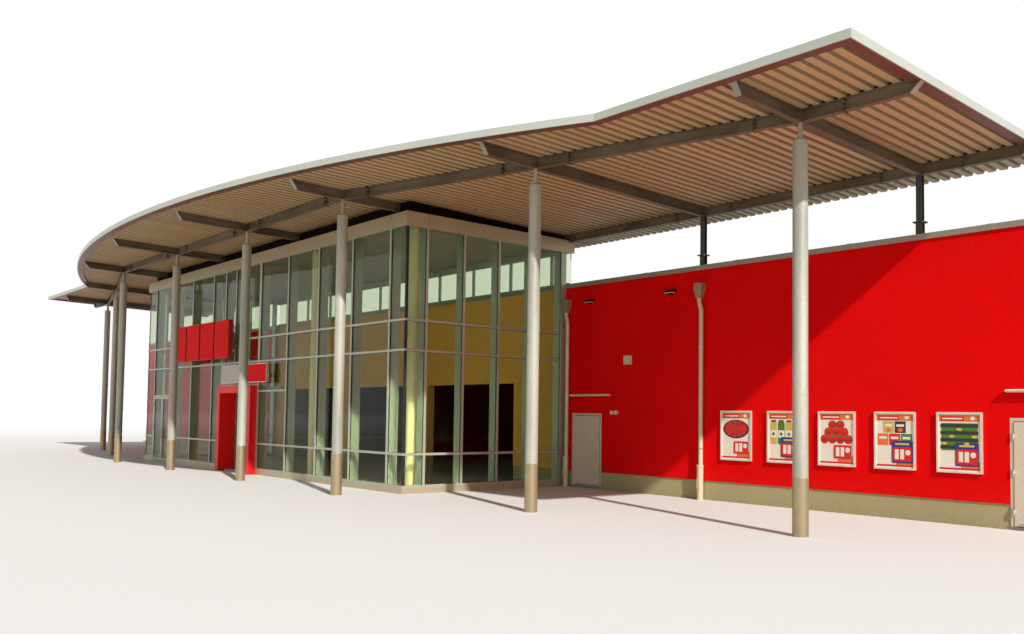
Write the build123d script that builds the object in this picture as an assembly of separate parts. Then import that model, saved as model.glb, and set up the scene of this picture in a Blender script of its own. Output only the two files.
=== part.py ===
from build123d import *
import math
import os

# Half-size model of a supermarket with a glass foyer under a free-standing steel canopy.
# Millimetres of the half-size model. X runs along the street front, Y runs into the building,
# Z is up, and the ground is at Z = 0.

# Hall: the long rendered building
HALL_LEFT = -12400.0
HALL_RIGHT = 12400.0
HALL_FRONT = -3800.0
HALL_REAR = 8641.0
WALL = 150.0               # wall thickness
PLINTH_TOP = 237.0
PLINTH_SET = 10.0          # the plinth course stands back from the render above it
WALL_TOP = 2860.0
CAP_TOP = 2920.0
CAP_OUT = 15.0             # parapet cap beyond the wall face
FLOOR_TOP = 30.0
SEAM = 0.5                 # between the lengths of one wall
ROOF_TOP = 2500.0
ROOF_THICK = 120.0

# Service doors in the hall front
SERVICE_X = (5202.0, 11110.0)   # left edge of each opening
SERVICE_W = 581.0
SERVICE_H = 1049.0
JAMB = 30.0
DOOR_GAP = 6.0
LATCH_GAP = 9.0
DOOR_THICK = 25.0
DOOR_OUT = 6.0             # leaf face in front of the wall
SILL_GAP = 8.0
HINGE_OUT = 8.0            # hinge axis in front of the leaf
HINGE_R = 7.0              # knuckle
HINGE_PIN_R = 3.5
HINGE_RUN = 0.3            # running clearance at the pin and between knuckles
HINGE_LEAF_LONG = 24.0
HINGE_FRAME_LONG = 20.0
HINGE_PLATE = 22.0

# Foyer: the glass box in front of the hall
FOYER_LEFT = -4276.0
FOYER_RIGHT = 5040.0
FOYER_FRONT = -6584.0
CAP_DEEP = 14.0            # outer cover strips
GLASS = 20.0
INNER_DEEP = 130.0         # inner uprights behind the glass
RAIL_DEEP = 45.0           # inner cross bars behind the glass
MULLION = 34.0
MULLION_X0 = 4663.0
MULLION_PITCH = 946.0
MULLION_COUNT = 10
SIDE_MULLION_Y0 = -6257.0
SIDE_MULLION_PITCH = 599.0
SIDE_MULLION_COUNT = 5
KERB_TOP = 75.0
GLASS_TOP = 3480.0
TRANSOM = 30.0
TRANSOM_Z = (495.0, 1810.0, 2195.0)
DOOR_HEAD_Z = 1333.0       # one more bar in the pane right of the way in
BAND_BOTTOM = 3390.0
BAND_TOP = 3570.0
BAND_THICK = 16.0
PANEL_GAP = 5.0
UPSTAND_SET = 100.0        # black upstand, back from the glazing
UPSTAND_GAP = 5.0          # upstand to the deck above, and to the beams that cross it
UPSTAND_THICK = 25.0
END_PANEL_Y = -3861.0

# Way in: red surround with two sliding leaves
PORTAL_LEFT = -475.0
PORTAL_RIGHT = 830.0
PORTAL_TOP = 1425.0
PORTAL_JAMB = 120.0
PORTAL_OUT = 115.0
SLIDE_OVERLAP = 25.0
SLIDE_MEET = 6.0
SLIDE_TOP = 1318.0
SLIDE_THICK = 25.0
SLIDE_FRAME = 42.0
SLIDE_GAP = 10.0
TRACK_UNDER = 6.0          # leaf top to the underside of the header
TRACK_LIP = 8.0
TRACK_SLOT = 12.0
TRACK_HALL = 28.0          # width of the runway inside the header
ROLLER_R = 12.0

# Side door: two glazed hinged leaves in the last whole bay on the left
SIDE_TOP = 1270.0
SIDE_FRAME = 40.0
SIDE_THICK = 30.0

# Openings from the foyer into the hall
INNER_X = (-3600.0, -1000.0, 1600.0)
INNER_W = 2300.0
INNER_H = 1500.0

# Columns, in a row that steps forward in the middle
CANOPY_X = 536.0           # middle of the row and of the canopy
COLUMN_PITCH = 2770.0
COLUMN_COUNT = 8
END_ROW = -5946.0
NEXT_ROW = -6587.0
FRONT_ROW = -7310.0
COLUMN_Y = (END_ROW, NEXT_ROW) + (FRONT_ROW,) * (COLUMN_COUNT - 4) + (NEXT_ROW, END_ROW)
COLUMN_R = 66.0
COLUMN_TOP = 3455.0
COLUMN_CHAMFER = 9.0
SLEEVE_TOP = 500.0
SLEEVE_OUT = 2.5           # sleeve beyond the tube
PIN_LOW_R = 28.0
PIN_HIGH_R = 18.0

# Canopy, drawn level and then tipped up towards the street
FALL = 1.55                # degrees that it falls towards the rear
END_OVERHANG = 1100.0      # beyond the last column
WING_OVERHANG = 1110.0     # straight front edge beyond the end columns
BOW_OVERHANG = 1350.0      # crown of the bow beyond the front columns
BOW_X = 880.0              # middle of the bow, a little off the middle of the row
BOW_HALF = 7900.0          # from there to the kinks where the straight wings start
REAR_OVERHANG = 740.0      # behind the rear beam
BEAM_BOTTOM = 3545.0       # at the rear beam
BEARER = 10.0              # what the rear beam lies on, over the foyer roof
BEAM_HIGH = 113.0
BEAM_WIDE = 62.0
FLANGE = 7.0
WEB = 6.0
CROSS_OVERHANG = (985.0, 749.0, 720.0, 1060.0)   # beyond the columns, from the ends inwards
TIP_GAP = 8.0              # least room between a beam's tip and the fascia
TIP_RAKE = 84.0            # how far the lower corner of a beam tip stands back
TIP_PLATE = 6.0
DECK_THICK = 39.0
DECK_LIP = 5.0             # the fascia stands this much over the deck
FASCIA_THICK = 11.0
FASCIA_DROP = 27.0         # and hangs this much below it
STRIP_WIDE = 97.0
STRIP_THICK = FASCIA_DROP  # so its foot is level with the fascia's
STRIP_GAP = 2.0
STRIP_SLANT = 10.0         # more room along a beam, where it meets the bow at a slant
RIB_DEEP = 26.0
RIB_PITCH = 119.0
RIB_GAP_LOW = 55.0         # width of the groove between ribs at its mouth
RIB_GAP_HIGH = 34.0        # and at its root
RIB_END = 18.0             # flat stretch between the strip and the grooves
SPLICE_AT = 424.0          # splice plates, along the beam from a column
SPLICE_THICK = 18.0
SPLICE_OUT = 7.0

# Posts on the hall's front wall
POST_WIDE = 60.0
POST_FOOT_WIDE = 66.0
POST_SHEET = 8.0
POST_FLANGE_Z = 3050.0
POST_FLANGE = 110.0
POST_FLANGE_THICK = 12.0
INNER_COLUMN_R = 75.0
INNER_COLUMNS = ((4700.0, -6230.0), (2080.0, -6230.0), (-520.0, -6230.0), (-3500.0, -6230.0))

# Fittings on the hall front
POSTER_X = 8021.0
POSTER_PITCH = 656.0
POSTER_COUNT = 5
POSTER_W = 440.0
POSTER_Z = (505.0, 1100.0)
POSTER_EDGE = 18.0
POSTER_DEEP = 22.0
PIPE_X = (7500.0, 5105.0)
PIPE_R = 28.0
STAND_PIPE_R = 40.0
STAND_PIPE_TOP = 420.0
HOPPER_Z = (2497.0, 2685.0)
HOPPER_W = 118.0
LIGHT_W = 771.0
LIGHT_Z = 1305.0
LIGHT_SHIFT = 29.0         # starts this far left of the doorway
LIGHT_DEEP = 45.0
BOX_X = (6208.0, 6340.0)
BOX_Z = (1713.0, 1830.0)
BOX_DEEP = 40.0
LAMP_X = (5538.0, 7003.0)
LAMP_W = 184.0
LAMP_Z = (2595.0, 2655.0)
LAMP_DEEP = 60.0
ROUND_X = (5996.0, 6071.0)
ROUND_Z = 1063.0
ROUND_R = 28.0

# Signs over the way in
SIGN_PANEL_X = (-340.0, 1360.0)
SIGN_PANEL_Z = (1465.0, 1766.0)
SIGN_PANEL_Y = -6680.0
SIGN_X = (-2240.0, 190.0)
SIGN_Z = (1880.0, 2515.0)
SIGN_Y = -6810.0
SIGN_DEEP = 70.0
SIGN_BLOCKS = 4
SIGN_SPACE = 40.0


def box(x0, x1, y0, y1, z0, z1):
    """A block between two corners."""
    return Pos((x0 + x1) / 2, (y0 + y1) / 2, (z0 + z1) / 2) * Box(x1 - x0, y1 - y0, z1 - z0)


def together(shapes):
    """Separate solids that share one node."""
    solids = []
    for shape in shapes:
        solids.extend(shape.solids())
    return Compound(children=solids)


def save(name, shape):
    export_step(shape, f"parts/{name}.step")


def tipped(shape):
    """A piece of the canopy, turned from level to its fall."""
    return shape.rotate(Axis(HEEL, (1, 0, 0)), -FALL)


def save_tipped(name, solids):
    save(name, together([tipped(solid) for solid in solids]))


def over_beams(x0, x1, y0, y1, start=0.0):
    """The room over the sloping plane of the beams' feet, or over one parallel to it."""
    return tipped(box(x0, x1, y0, y1, BEAM_BOTTOM + start, BEAM_BOTTOM + start + 500))


def foot_z(y):
    """Height of the beams' feet over a point."""
    return BEAM_BOTTOM + (HEEL[1] - y) * math.tan(math.radians(FALL))


def column_x(index):
    return CANOPY_X + COLUMN_PITCH * ((COLUMN_COUNT - 1) / 2 - index)


COLUMNS = [(column_x(i), COLUMN_Y[i]) for i in range(COLUMN_COUNT)]
CANOPY_HALF = COLUMNS[0][0] - CANOPY_X + END_OVERHANG
WING_FRONT = END_ROW - WING_OVERHANG
BOW_FRONT = FRONT_ROW - BOW_OVERHANG
REAR_BEAM_Y = HALL_FRONT + WALL / 2
HEEL = (0, REAR_BEAM_Y + BEAM_WIDE / 2, BEAM_BOTTOM)   # on the line that the canopy tips about
ROOF_LINE = BEAM_BOTTOM - BEARER
CANOPY_REAR = REAR_BEAM_Y + REAR_OVERHANG
DECK_BOTTOM = BEAM_BOTTOM + BEAM_HIGH
DECK_TOP = DECK_BOTTOM + DECK_THICK
FASCIA_BOTTOM = DECK_BOTTOM - FASCIA_DROP
FASCIA_TOP = DECK_TOP + DECK_LIP
UNDER_STRIP = STRIP_WIDE - TIP_GAP + STRIP_GAP   # of a long beam's tip
MULLIONS = [MULLION_X0 - MULLION_PITCH * i for i in range(MULLION_COUNT)]
SIDE_MULLIONS = [SIDE_MULLION_Y0 + SIDE_MULLION_PITCH * i for i in range(SIDE_MULLION_COUNT)]
SIDE_DOOR = (MULLIONS[9] + MULLION / 2, MULLIONS[8] - MULLION / 2)
SHELL = CAP_DEEP + GLASS + INNER_DEEP
INNER_FACE = FOYER_FRONT + SHELL
PIER_GAPS = [(x, x + INNER_W) for x in INNER_X]
SERVICE_GAPS = [(x, x + SERVICE_W) for x in SERVICE_X]


def spans(start, end, gaps):
    """The stretches of a run that are left between its gaps."""
    out, at = [], start
    for low, high in sorted(gaps):
        out.append((at, low))
        at = high
    out.append((at, end))
    return out


def wall_run(start, end, gaps, head, y0, y1):
    """A wall over the plinth, split beside and over each opening."""
    parts = [box(a, b, y0, y1, PLINTH_TOP, WALL_TOP) for a, b in spans(start, end, gaps)]
    parts += [box(a + SEAM, b - SEAM, y0, y1, head, WALL_TOP) for a, b in gaps]
    return parts


def build_hall():
    front, back = HALL_FRONT, HALL_FRONT + WALL
    left = wall_run(HALL_LEFT, FOYER_LEFT, [], 0, front, back)
    right = wall_run(FOYER_RIGHT, HALL_RIGHT, SERVICE_GAPS, SERVICE_H, front, back)
    save("hall_wall_front", together(left + right))
    inner = wall_run(FOYER_LEFT, FOYER_RIGHT, PIER_GAPS, INNER_H, front, back)
    save("foyer_back_wall", together(inner))
    save("hall_wall_rear", box(HALL_LEFT, HALL_RIGHT, HALL_REAR - WALL, HALL_REAR,
                               PLINTH_TOP, WALL_TOP))
    sides = [box(HALL_LEFT, HALL_LEFT + WALL, back, HALL_REAR - WALL, PLINTH_TOP, WALL_TOP),
             box(HALL_RIGHT - WALL, HALL_RIGHT, back, HALL_REAR - WALL, PLINTH_TOP, WALL_TOP)]
    save("hall_wall_sides", together(sides))
    build_plinth()
    build_caps()
    build_floors()
    inner_left, inner_right = HALL_LEFT + WALL, HALL_RIGHT - WALL
    save("hall_roof", box(inner_left, inner_right, back, HALL_REAR - WALL,
                          ROOF_TOP - ROOF_THICK, ROOF_TOP))


def build_plinth():
    """The grey course that carries the walls, open at every doorway."""
    y0, y1 = HALL_FRONT + PLINTH_SET, HALL_FRONT + WALL
    x0, x1 = HALL_LEFT + PLINTH_SET, HALL_RIGHT - PLINTH_SET
    rear = HALL_REAR - PLINTH_SET
    parts = [box(a, b, y0, y1, 0, PLINTH_TOP)
             for a, b in spans(x0, x1, PIER_GAPS + SERVICE_GAPS)]
    parts.append(box(x0, x1, HALL_REAR - WALL, rear, 0, PLINTH_TOP))
    parts.append(box(x0, HALL_LEFT + WALL, y1 + 2, HALL_REAR - WALL - 2, 0, PLINTH_TOP))
    parts.append(box(HALL_RIGHT - WALL, x1, y1 + 2, HALL_REAR - WALL - 2, 0, PLINTH_TOP))
    save("plinth", together(parts))


def build_caps():
    x0, x1 = HALL_LEFT - CAP_OUT, HALL_RIGHT + CAP_OUT
    y0, y1 = HALL_FRONT - CAP_OUT, HALL_REAR + CAP_OUT
    deep = WALL + 2 * CAP_OUT
    parts = [box(x0, x1, y0, y0 + deep, WALL_TOP, CAP_TOP),
             box(x0, x1, y1 - deep, y1, WALL_TOP, CAP_TOP),
             box(x0, x0 + deep, y0 + deep + 2, y1 - deep - 2, WALL_TOP, CAP_TOP),
             box(x1 - deep, x1, y0 + deep + 2, y1 - deep - 2, WALL_TOP, CAP_TOP)]
    save("parapet_caps", together(parts))


def build_floors():
    back = HALL_FRONT + WALL
    hall = box(HALL_LEFT + WALL, HALL_RIGHT - WALL, back, HALL_REAR - WALL, 0, FLOOR_TOP)
    for a, b in PIER_GAPS + SERVICE_GAPS:
        hall += box(a, b, HALL_FRONT + PLINTH_SET, back, 0, FLOOR_TOP)
    save("hall_floor", hall)
    foyer = box(FOYER_LEFT, FOYER_RIGHT, INNER_FACE, HALL_FRONT + PLINTH_SET, 0, FLOOR_TOP)
    foyer -= box(FOYER_LEFT, FOYER_LEFT + SHELL, INNER_FACE, HALL_FRONT, 0, FLOOR_TOP)
    foyer -= box(FOYER_RIGHT - SHELL, FOYER_RIGHT, INNER_FACE, HALL_FRONT, 0, FLOOR_TOP)
    for a, b in (SIDE_DOOR, (PORTAL_LEFT + PORTAL_JAMB, PORTAL_RIGHT - PORTAL_JAMB)):
        foyer += box(a, b, FOYER_FRONT, INNER_FACE, 0, FLOOR_TOP)
    save("foyer_floor", foyer)


def front_gaps():
    """Holes in the front glazing: the side door and the red surround."""
    return [(SIDE_DOOR[0], SIDE_DOOR[1], SIDE_TOP), (PORTAL_LEFT, PORTAL_RIGHT, PORTAL_TOP)]


def lattice(x0, x1, rails, posts, z0, bars, levels):
    """A flat grid: cross bars between two faces, uprights between two more."""
    grid = box(x0, x1, *rails, GLASS_TOP - 95, GLASS_TOP)
    grid += box(x0, x1, *rails, z0, z0 + TRANSOM)
    for z in levels:
        if z0 + TRANSOM < z:
            grid += box(x0, x1, *rails, z - TRANSOM / 2, z + TRANSOM / 2)
    for x in bars:
        a, b = max(x - MULLION / 2, x0), min(x + MULLION / 2, x1)
        if b > a:
            grid += box(a, b, *posts, z0, GLASS_TOP)
    return grid


def front_stretches(corner):
    """Left end, right end and foot of each stretch of the front glazing.

    A layer stops short of the foyer's corners by what stands in front of it at the ends.
    """
    gaps = front_gaps()
    return [(FOYER_LEFT + corner + 1, gaps[0][0] - 1, KERB_TOP),
            (gaps[0][0] + 1, gaps[0][1] - 1, gaps[0][2]),
            (gaps[0][1] + 1, gaps[1][0] - 1, KERB_TOP),
            (gaps[1][0] + 1, gaps[1][1] - 1, gaps[1][2]),
            (gaps[1][1] + 1, FOYER_RIGHT - corner - 1, KERB_TOP)]


def front_layer(corner, rails, posts):
    """The grid of the front glazing on one side of the glass, with no upright at the corners."""
    parts = []
    for a, b, foot in front_stretches(corner):
        ends = [x for x in (a + MULLION / 2 - 1, b - MULLION / 2 + 1)
                if foot == KERB_TOP and FOYER_LEFT + SHELL < x < FOYER_RIGHT - SHELL]
        bars = [x for x in MULLIONS + ends if a - 5 < x < b + 5]
        grid = lattice(a, b, rails, posts, foot, bars, TRANSOM_Z)
        if a < PORTAL_RIGHT + 5 < b:
            grid += box(a, MULLIONS[3], *rails, DOOR_HEAD_Z - TRANSOM / 2,
                        DOOR_HEAD_Z + TRANSOM / 2)
        parts.append(grid)
    return parts


def build_glazing():
    outer, glass = FOYER_FRONT + CAP_DEEP, FOYER_FRONT + CAP_DEEP + GLASS
    caps = front_layer(0, (FOYER_FRONT, outer), (FOYER_FRONT, outer))
    inner = front_layer(CAP_DEEP + GLASS, (glass, glass + RAIL_DEEP), (glass, INNER_FACE))
    save("glazing_frame_front", together(caps + inner))
    panes = [box(a, b, outer, glass, foot, GLASS_TOP)
             for a, b, foot in front_stretches(CAP_DEEP)]
    save("glass_front", together(panes))
    build_end_glazing()
    build_clerestory()
    build_kerb()


def end_layer(face, sign, start, rails, posts):
    """The grid of one end of the foyer, drawn flat and stood on its side.

    Rails and posts are depths from the outer face.
    """
    end = END_PANEL_Y - 1
    spread = [sorted(-sign * depth for depth in pair) for pair in (rails, posts)]
    bars = SIDE_MULLIONS + [end - MULLION / 2]
    grid = lattice(start, end, *spread, KERB_TOP, bars, TRANSOM_Z)
    return Pos(face, 0, 0) * grid.rotate(Axis.Z, 90)


def build_end_glazing():
    """Each end of the foyer: cover strips, glass and inner bars."""
    layers, panes = [], []
    behind = CAP_DEEP + GLASS
    for face, sign in ((FOYER_RIGHT, -1), (FOYER_LEFT, 1)):
        start = FOYER_FRONT + CAP_DEEP + 1
        layers.append(end_layer(face, sign, start, (0, CAP_DEEP), (0, CAP_DEEP)))
        layers.append(end_layer(face, sign, INNER_FACE + 1, (behind, behind + RAIL_DEEP),
                                (behind, SHELL)))
        x0, x1 = sorted((face + sign * CAP_DEEP, face + sign * behind))
        panes.append(box(x0, x1, FOYER_FRONT + behind + 1, END_PANEL_Y - 1, KERB_TOP, GLASS_TOP))
    save("glazing_frame_ends", together(layers))
    save("glass_ends", together(panes))


def build_clerestory():
    """Glazing on the parapet, between the hall roof and the higher foyer roof."""
    y0 = HALL_FRONT + 40
    depth = (y0, y0 + 40)
    frame = lattice(FOYER_LEFT, FOYER_RIGHT, depth, depth, CAP_TOP, MULLIONS, ())
    pane = box(FOYER_LEFT, FOYER_RIGHT, y0 + 40, y0 + 40 + GLASS, CAP_TOP, GLASS_TOP)
    save("clerestory_frame", frame)
    save("clerestory_glass", pane)


def build_kerb():
    parts = [box(a, b, FOYER_FRONT, INNER_FACE, 0, KERB_TOP)
             for a, b, foot in front_stretches(0) if foot == KERB_TOP]
    for x in (FOYER_LEFT, FOYER_RIGHT - SHELL):
        parts.append(box(x, x + SHELL, INNER_FACE + 1, HALL_FRONT, 0, KERB_TOP))
    save("foyer_kerb", together(parts))


def build_foyer_top():
    x0, x1 = FOYER_LEFT, FOYER_RIGHT
    roof = box(x0, x1, FOYER_FRONT, HALL_FRONT + WALL, GLASS_TOP, ROOF_LINE)
    half = BEAM_WIDE / 2
    roof += box(x0, x1, REAR_BEAM_Y - half, REAR_BEAM_Y + half, ROOF_LINE - 1, BEAM_BOTTOM + 20)
    save("foyer_roof", roof - over_beams(x0 - 1, x1 + 1, REAR_BEAM_Y - 100, REAR_BEAM_Y + 100))
    parts = []
    edges = [x0 - BAND_THICK] + list(reversed(MULLIONS)) + [x1 + BAND_THICK]
    for a, b in zip(edges[:-1], edges[1:]):
        parts.append(box(a + PANEL_GAP / 2, b - PANEL_GAP / 2, FOYER_FRONT - BAND_THICK,
                         FOYER_FRONT, BAND_BOTTOM, BAND_TOP))
    edges = [FOYER_FRONT] + SIDE_MULLIONS[:-1] + [HALL_FRONT + WALL]
    for a, b in zip(edges[:-1], edges[1:]):
        for x in (x1, x0 - BAND_THICK):
            parts.append(box(x, x + BAND_THICK, a + PANEL_GAP / 2, b - PANEL_GAP / 2,
                             BAND_BOTTOM, BAND_TOP))
    notch = over_beams(x0 - 99, x1 + 99, REAR_BEAM_Y - BEAM_WIDE / 2 - UPSTAND_GAP,
                       HALL_FRONT + WALL + 50, -UPSTAND_GAP)
    save("band_panels", together([part - notch for part in parts]))
    build_upstand()
    ends = [box(x, x + 30, END_PANEL_Y, HALL_FRONT, KERB_TOP, GLASS_TOP)
            - box(x - 1, x + 31, HALL_FRONT - CAP_OUT, HALL_FRONT + 1, WALL_TOP, CAP_TOP)
            for x in (x1 - 30, x0)]
    save("end_panels", together(ends))


def build_upstand():
    """Black walls between the foyer roof and the canopy, open where beams cross them."""
    x0, x1 = FOYER_LEFT + UPSTAND_SET, FOYER_RIGHT - UPSTAND_SET
    y0, y1 = FOYER_FRONT + UPSTAND_SET, HALL_FRONT + WALL
    t, top = UPSTAND_THICK, foot_z(y0) + BEAM_HIGH
    room = BEAM_WIDE / 2 + UPSTAND_GAP
    walls = [box(x0, x1, y0, y0 + t, ROOF_LINE, top), box(x0, x1, y1 - t, y1, ROOF_LINE, top)]
    walls += [box(x, x + t, y0 + t + 1, REAR_BEAM_Y - room, ROOF_LINE, top) for x in (x0, x1 - t)]
    cuts = [over_beams(x0 - 50, x1 + 50, y0 - 50, y1 + 50, BEAM_HIGH - UPSTAND_GAP)]
    cuts += [over_beams(x - room, x + room, y0 - 50, REAR_BEAM_Y, -UPSTAND_GAP)
             for x, _ in COLUMNS]
    save("roof_upstand", together([cut_all(wall, cuts) for wall in walls]))


def cut_all(shape, cutters):
    for cutter in cutters:
        shape -= cutter
    return shape


def beam_profile():
    """Outline of a rolled I section, foot at zero."""
    half, web, height = BEAM_WIDE / 2, WEB / 2, BEAM_HIGH
    pts = [(-half, 0), (half, 0), (half, FLANGE), (web, FLANGE), (web, height - FLANGE),
           (half, height - FLANGE), (half, height), (-half, height), (-half, height - FLANGE),
           (-web, height - FLANGE), (-web, FLANGE), (-half, FLANGE)]
    return make_face(Polyline(*pts, close=True))


def heading(a, b):
    """Direction in plan from one point to another, in degrees."""
    return math.degrees(math.atan2(b[1] - a[1], b[0] - a[0]))


def beam_between(a, b):
    """A rolled beam lying from one plan point to another."""
    bar = extrude(Plane.YZ * beam_profile(), amount=math.dist(a, b))
    return Pos(a[0], a[1], BEAM_BOTTOM) * Rot(0, 0, heading(a, b)) * bar


def front_edge(x):
    """Y of the canopy's front edge at a given X."""
    away = abs(x - BOW_X)
    if away >= BOW_HALF:
        return WING_FRONT
    radius, centre = bow()
    return centre - math.sqrt(radius ** 2 - away ** 2)


def bow():
    """Radius and centre Y of the bowed front edge."""
    rise = WING_FRONT - BOW_FRONT
    radius = (BOW_HALF ** 2 + rise ** 2) / (2 * rise)
    return radius, BOW_FRONT + radius


def build_beams():
    plates, crosses = [], []
    for i, (x, _) in enumerate(COLUMNS):
        y, under = cross_tip(i)
        bar = beam_between((x, y), (x, REAR_BEAM_Y - BEAM_WIDE / 2))
        crosses.append(raked(bar, (x, y), 90, under))
        plates.append(tip_plate((x, y), 90, under))
    save_tipped("cross_beams", crosses)
    build_long_beams(plates)


def cross_tip(i):
    """Y of a cross beam's tip, and how far the edge strip reaches over it."""
    x, y = COLUMNS[i]
    fascia = max(front_edge(x - BEAM_WIDE / 2), front_edge(x + BEAM_WIDE / 2)) + FASCIA_THICK
    tip = max(y - CROSS_OVERHANG[min(i, COLUMN_COUNT - 1 - i)], fascia + TIP_GAP)
    return tip, fascia + STRIP_WIDE + STRIP_SLANT + STRIP_GAP - tip


def tip_top(under):
    """Height of a beam at its tip, less where the edge strip lies over it."""
    return BEAM_HIGH - (STRIP_THICK + STRIP_GAP if under > 0 else 0)


def raked(bar, tip, turn, under):
    """Cut a beam's tip to a slope, and notch it where the edge strip reaches over it."""
    seat = tip_top(under)
    wedge = Polyline((-60, -20), (TIP_RAKE, -20), (TIP_RAKE, 0), (0, seat), (-60, seat),
                     close=True)
    cut = extrude(Plane.XZ * make_face(wedge), amount=BEAM_WIDE, both=True)
    if under > 0:
        cut += box(-60, under, -BEAM_WIDE, BEAM_WIDE, seat, BEAM_HIGH + 10)
    return bar - Pos(tip[0], tip[1], BEAM_BOTTOM) * Rot(0, 0, turn) * cut


def tip_plate(tip, turn, under):
    """The sloping plate that closes a raked tip."""
    seat = tip_top(under)
    face = Polyline((TIP_RAKE - 0.3, 0), (-0.3, seat), (-0.3 - TIP_PLATE, seat),
                    (TIP_RAKE - 0.3 - TIP_PLATE, 0), close=True)
    plate = extrude(Plane.XZ * make_face(face), amount=BEAM_WIDE / 2, both=True)
    return Pos(tip[0], tip[1], BEAM_BOTTOM) * Rot(0, 0, turn) * plate


def build_long_beams(plates):
    reach = CANOPY_HALF - FASCIA_THICK - TIP_GAP
    ends = [(CANOPY_X + reach, END_ROW)] + COLUMNS + [(CANOPY_X - reach, END_ROW)]
    fronts = [trim_at_crosses(beam_between(a, b)) for a, b in zip(ends[:-1], ends[1:])]
    fronts[0] = raked(fronts[0], ends[0], 180, UNDER_STRIP)
    fronts[-1] = raked(fronts[-1], ends[-1], 0, UNDER_STRIP)
    save_tipped("front_beams", fronts)
    tips = ((CANOPY_X + reach, REAR_BEAM_Y), (CANOPY_X - reach, REAR_BEAM_Y))
    rear = raked(beam_between(tips[1], tips[0]), tips[0], 180, UNDER_STRIP)
    save_tipped("rear_beam", [raked(rear, tips[1], 0, UNDER_STRIP)])
    plates += [tip_plate(tip, 180, UNDER_STRIP) for tip in (ends[0], tips[0])]
    plates += [tip_plate(tip, 0, UNDER_STRIP) for tip in (ends[-1], tips[1])]
    save_tipped("splice_plates", plates + splices(ends))


def trim_at_crosses(bar):
    """Cut a beam back to the faces of the cross beams and keep the long piece."""
    half = BEAM_WIDE / 2 + 1
    for x, y in COLUMNS:
        bar -= box(x - half, x + half, y - COLUMN_PITCH / 8, y + COLUMN_PITCH / 8,
                   BEAM_BOTTOM - 10, DECK_BOTTOM + 10)
    return max(bar.solids(), key=lambda s: s.volume)


def splices(ends):
    """Bolted end plates either side of each column, on the front and rear beams."""
    spots = []
    for i, (x, y) in enumerate(COLUMNS):
        for other in (ends[i], ends[i + 2]):
            part = SPLICE_AT / math.dist((x, y), other)
            spots.append((x + (other[0] - x) * part, y + (other[1] - y) * part,
                          heading((x, y), other)))
        spots.append((x - SPLICE_AT, REAR_BEAM_Y, 0))
        spots.append((x + SPLICE_AT, REAR_BEAM_Y, 0))
    return [splice_plate(*spot) for spot in spots]


def splice_plate(x, y, turn):
    """A plate round the I section; over the foyer roof it keeps above the beam's foot."""
    over_roof = FOYER_LEFT - SPLICE_AT < x < FOYER_RIGHT + SPLICE_AT and y > FOYER_FRONT
    low = 0 if over_roof else -SPLICE_OUT
    half = BEAM_WIDE / 2 + SPLICE_OUT
    plate = box(-SPLICE_THICK / 2, SPLICE_THICK / 2, -half, half, low, BEAM_HIGH - 1)
    plate -= extrude(Plane.YZ * beam_profile(), amount=SPLICE_THICK, both=True)
    return Pos(x, y, BEAM_BOTTOM) * Rot(0, 0, turn) * plate


def plan_face(inset):
    """The canopy's outline in plan, drawn in by an inset all round except the rear."""
    radius, centre = bow()
    r = radius - inset
    half = CANOPY_HALF - inset
    wing = WING_FRONT + inset
    kink = math.sqrt(r ** 2 - (centre - wing) ** 2)
    left, right = CANOPY_X - half, CANOPY_X + half
    line = Polyline((BOW_X + kink, wing), (right, wing), (right, CANOPY_REAR),
                    (left, CANOPY_REAR), (left, wing), (BOW_X - kink, wing))
    arc = ThreePointArc((BOW_X - kink, wing), (BOW_X, centre - r), (BOW_X + kink, wing))
    return make_face(line + arc)


def ring(inset, wide, z0, z1):
    """A band that follows the canopy's edge, open at the rear, cut into lengths."""
    band = plan_face(inset) - plan_face(inset + wide)
    band = Pos(0, 0, z0) * extrude(band, amount=z1 - z0)
    cuts = [CANOPY_X - CANOPY_HALF - 10]
    cuts += [BOW_X + BOW_HALF * i / 4 for i in range(-4, 5)]
    cuts.append(CANOPY_X + CANOPY_HALF + 10)
    lengths = []
    side = CANOPY_HALF - inset - wide
    for a, b in zip(cuts[:-1], cuts[1:]):
        front = box(a + 0.5, b - 0.5, BOW_FRONT - 50, WING_FRONT + inset + wide, z0, z1)
        lengths += (band & front).solids()
    for sign in (-1, 1):
        x0, x1 = sorted((CANOPY_X + sign * side, CANOPY_X + sign * (side + wide)))
        lengths.append(box(x0, x1, WING_FRONT + inset + wide + 1, CANOPY_REAR, z0, z1))
    return lengths


def build_canopy():
    deck = Pos(0, 0, DECK_BOTTOM) * extrude(plan_face(FASCIA_THICK), amount=DECK_TOP - DECK_BOTTOM)
    ribbed = 2 * (CANOPY_HALF - FASCIA_THICK - STRIP_WIDE)
    count = int((ribbed - RIB_GAP_LOW) // RIB_PITCH) + 1
    first = CANOPY_X - RIB_PITCH * (count - 1) / 2
    grooves = []
    for i in range(count):
        x = first + RIB_PITCH * i
        y0 = front_edge(x) + FASCIA_THICK + STRIP_WIDE + RIB_END
        run = CANOPY_REAR + 10 - y0
        bar = extrude(Plane.XZ * groove_face(), amount=-run)
        grooves.append(Pos(x, y0, DECK_BOTTOM) * bar)
    deck = deck.cut(*[s for g in grooves for s in g.solids()])
    save_tipped("canopy_deck", [deck])
    save_tipped("canopy_fascia", ring(0, FASCIA_THICK, FASCIA_BOTTOM, FASCIA_TOP))
    save_tipped("edge_strip", ring(FASCIA_THICK, STRIP_WIDE, DECK_BOTTOM - STRIP_THICK,
                                   DECK_BOTTOM))


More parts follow.
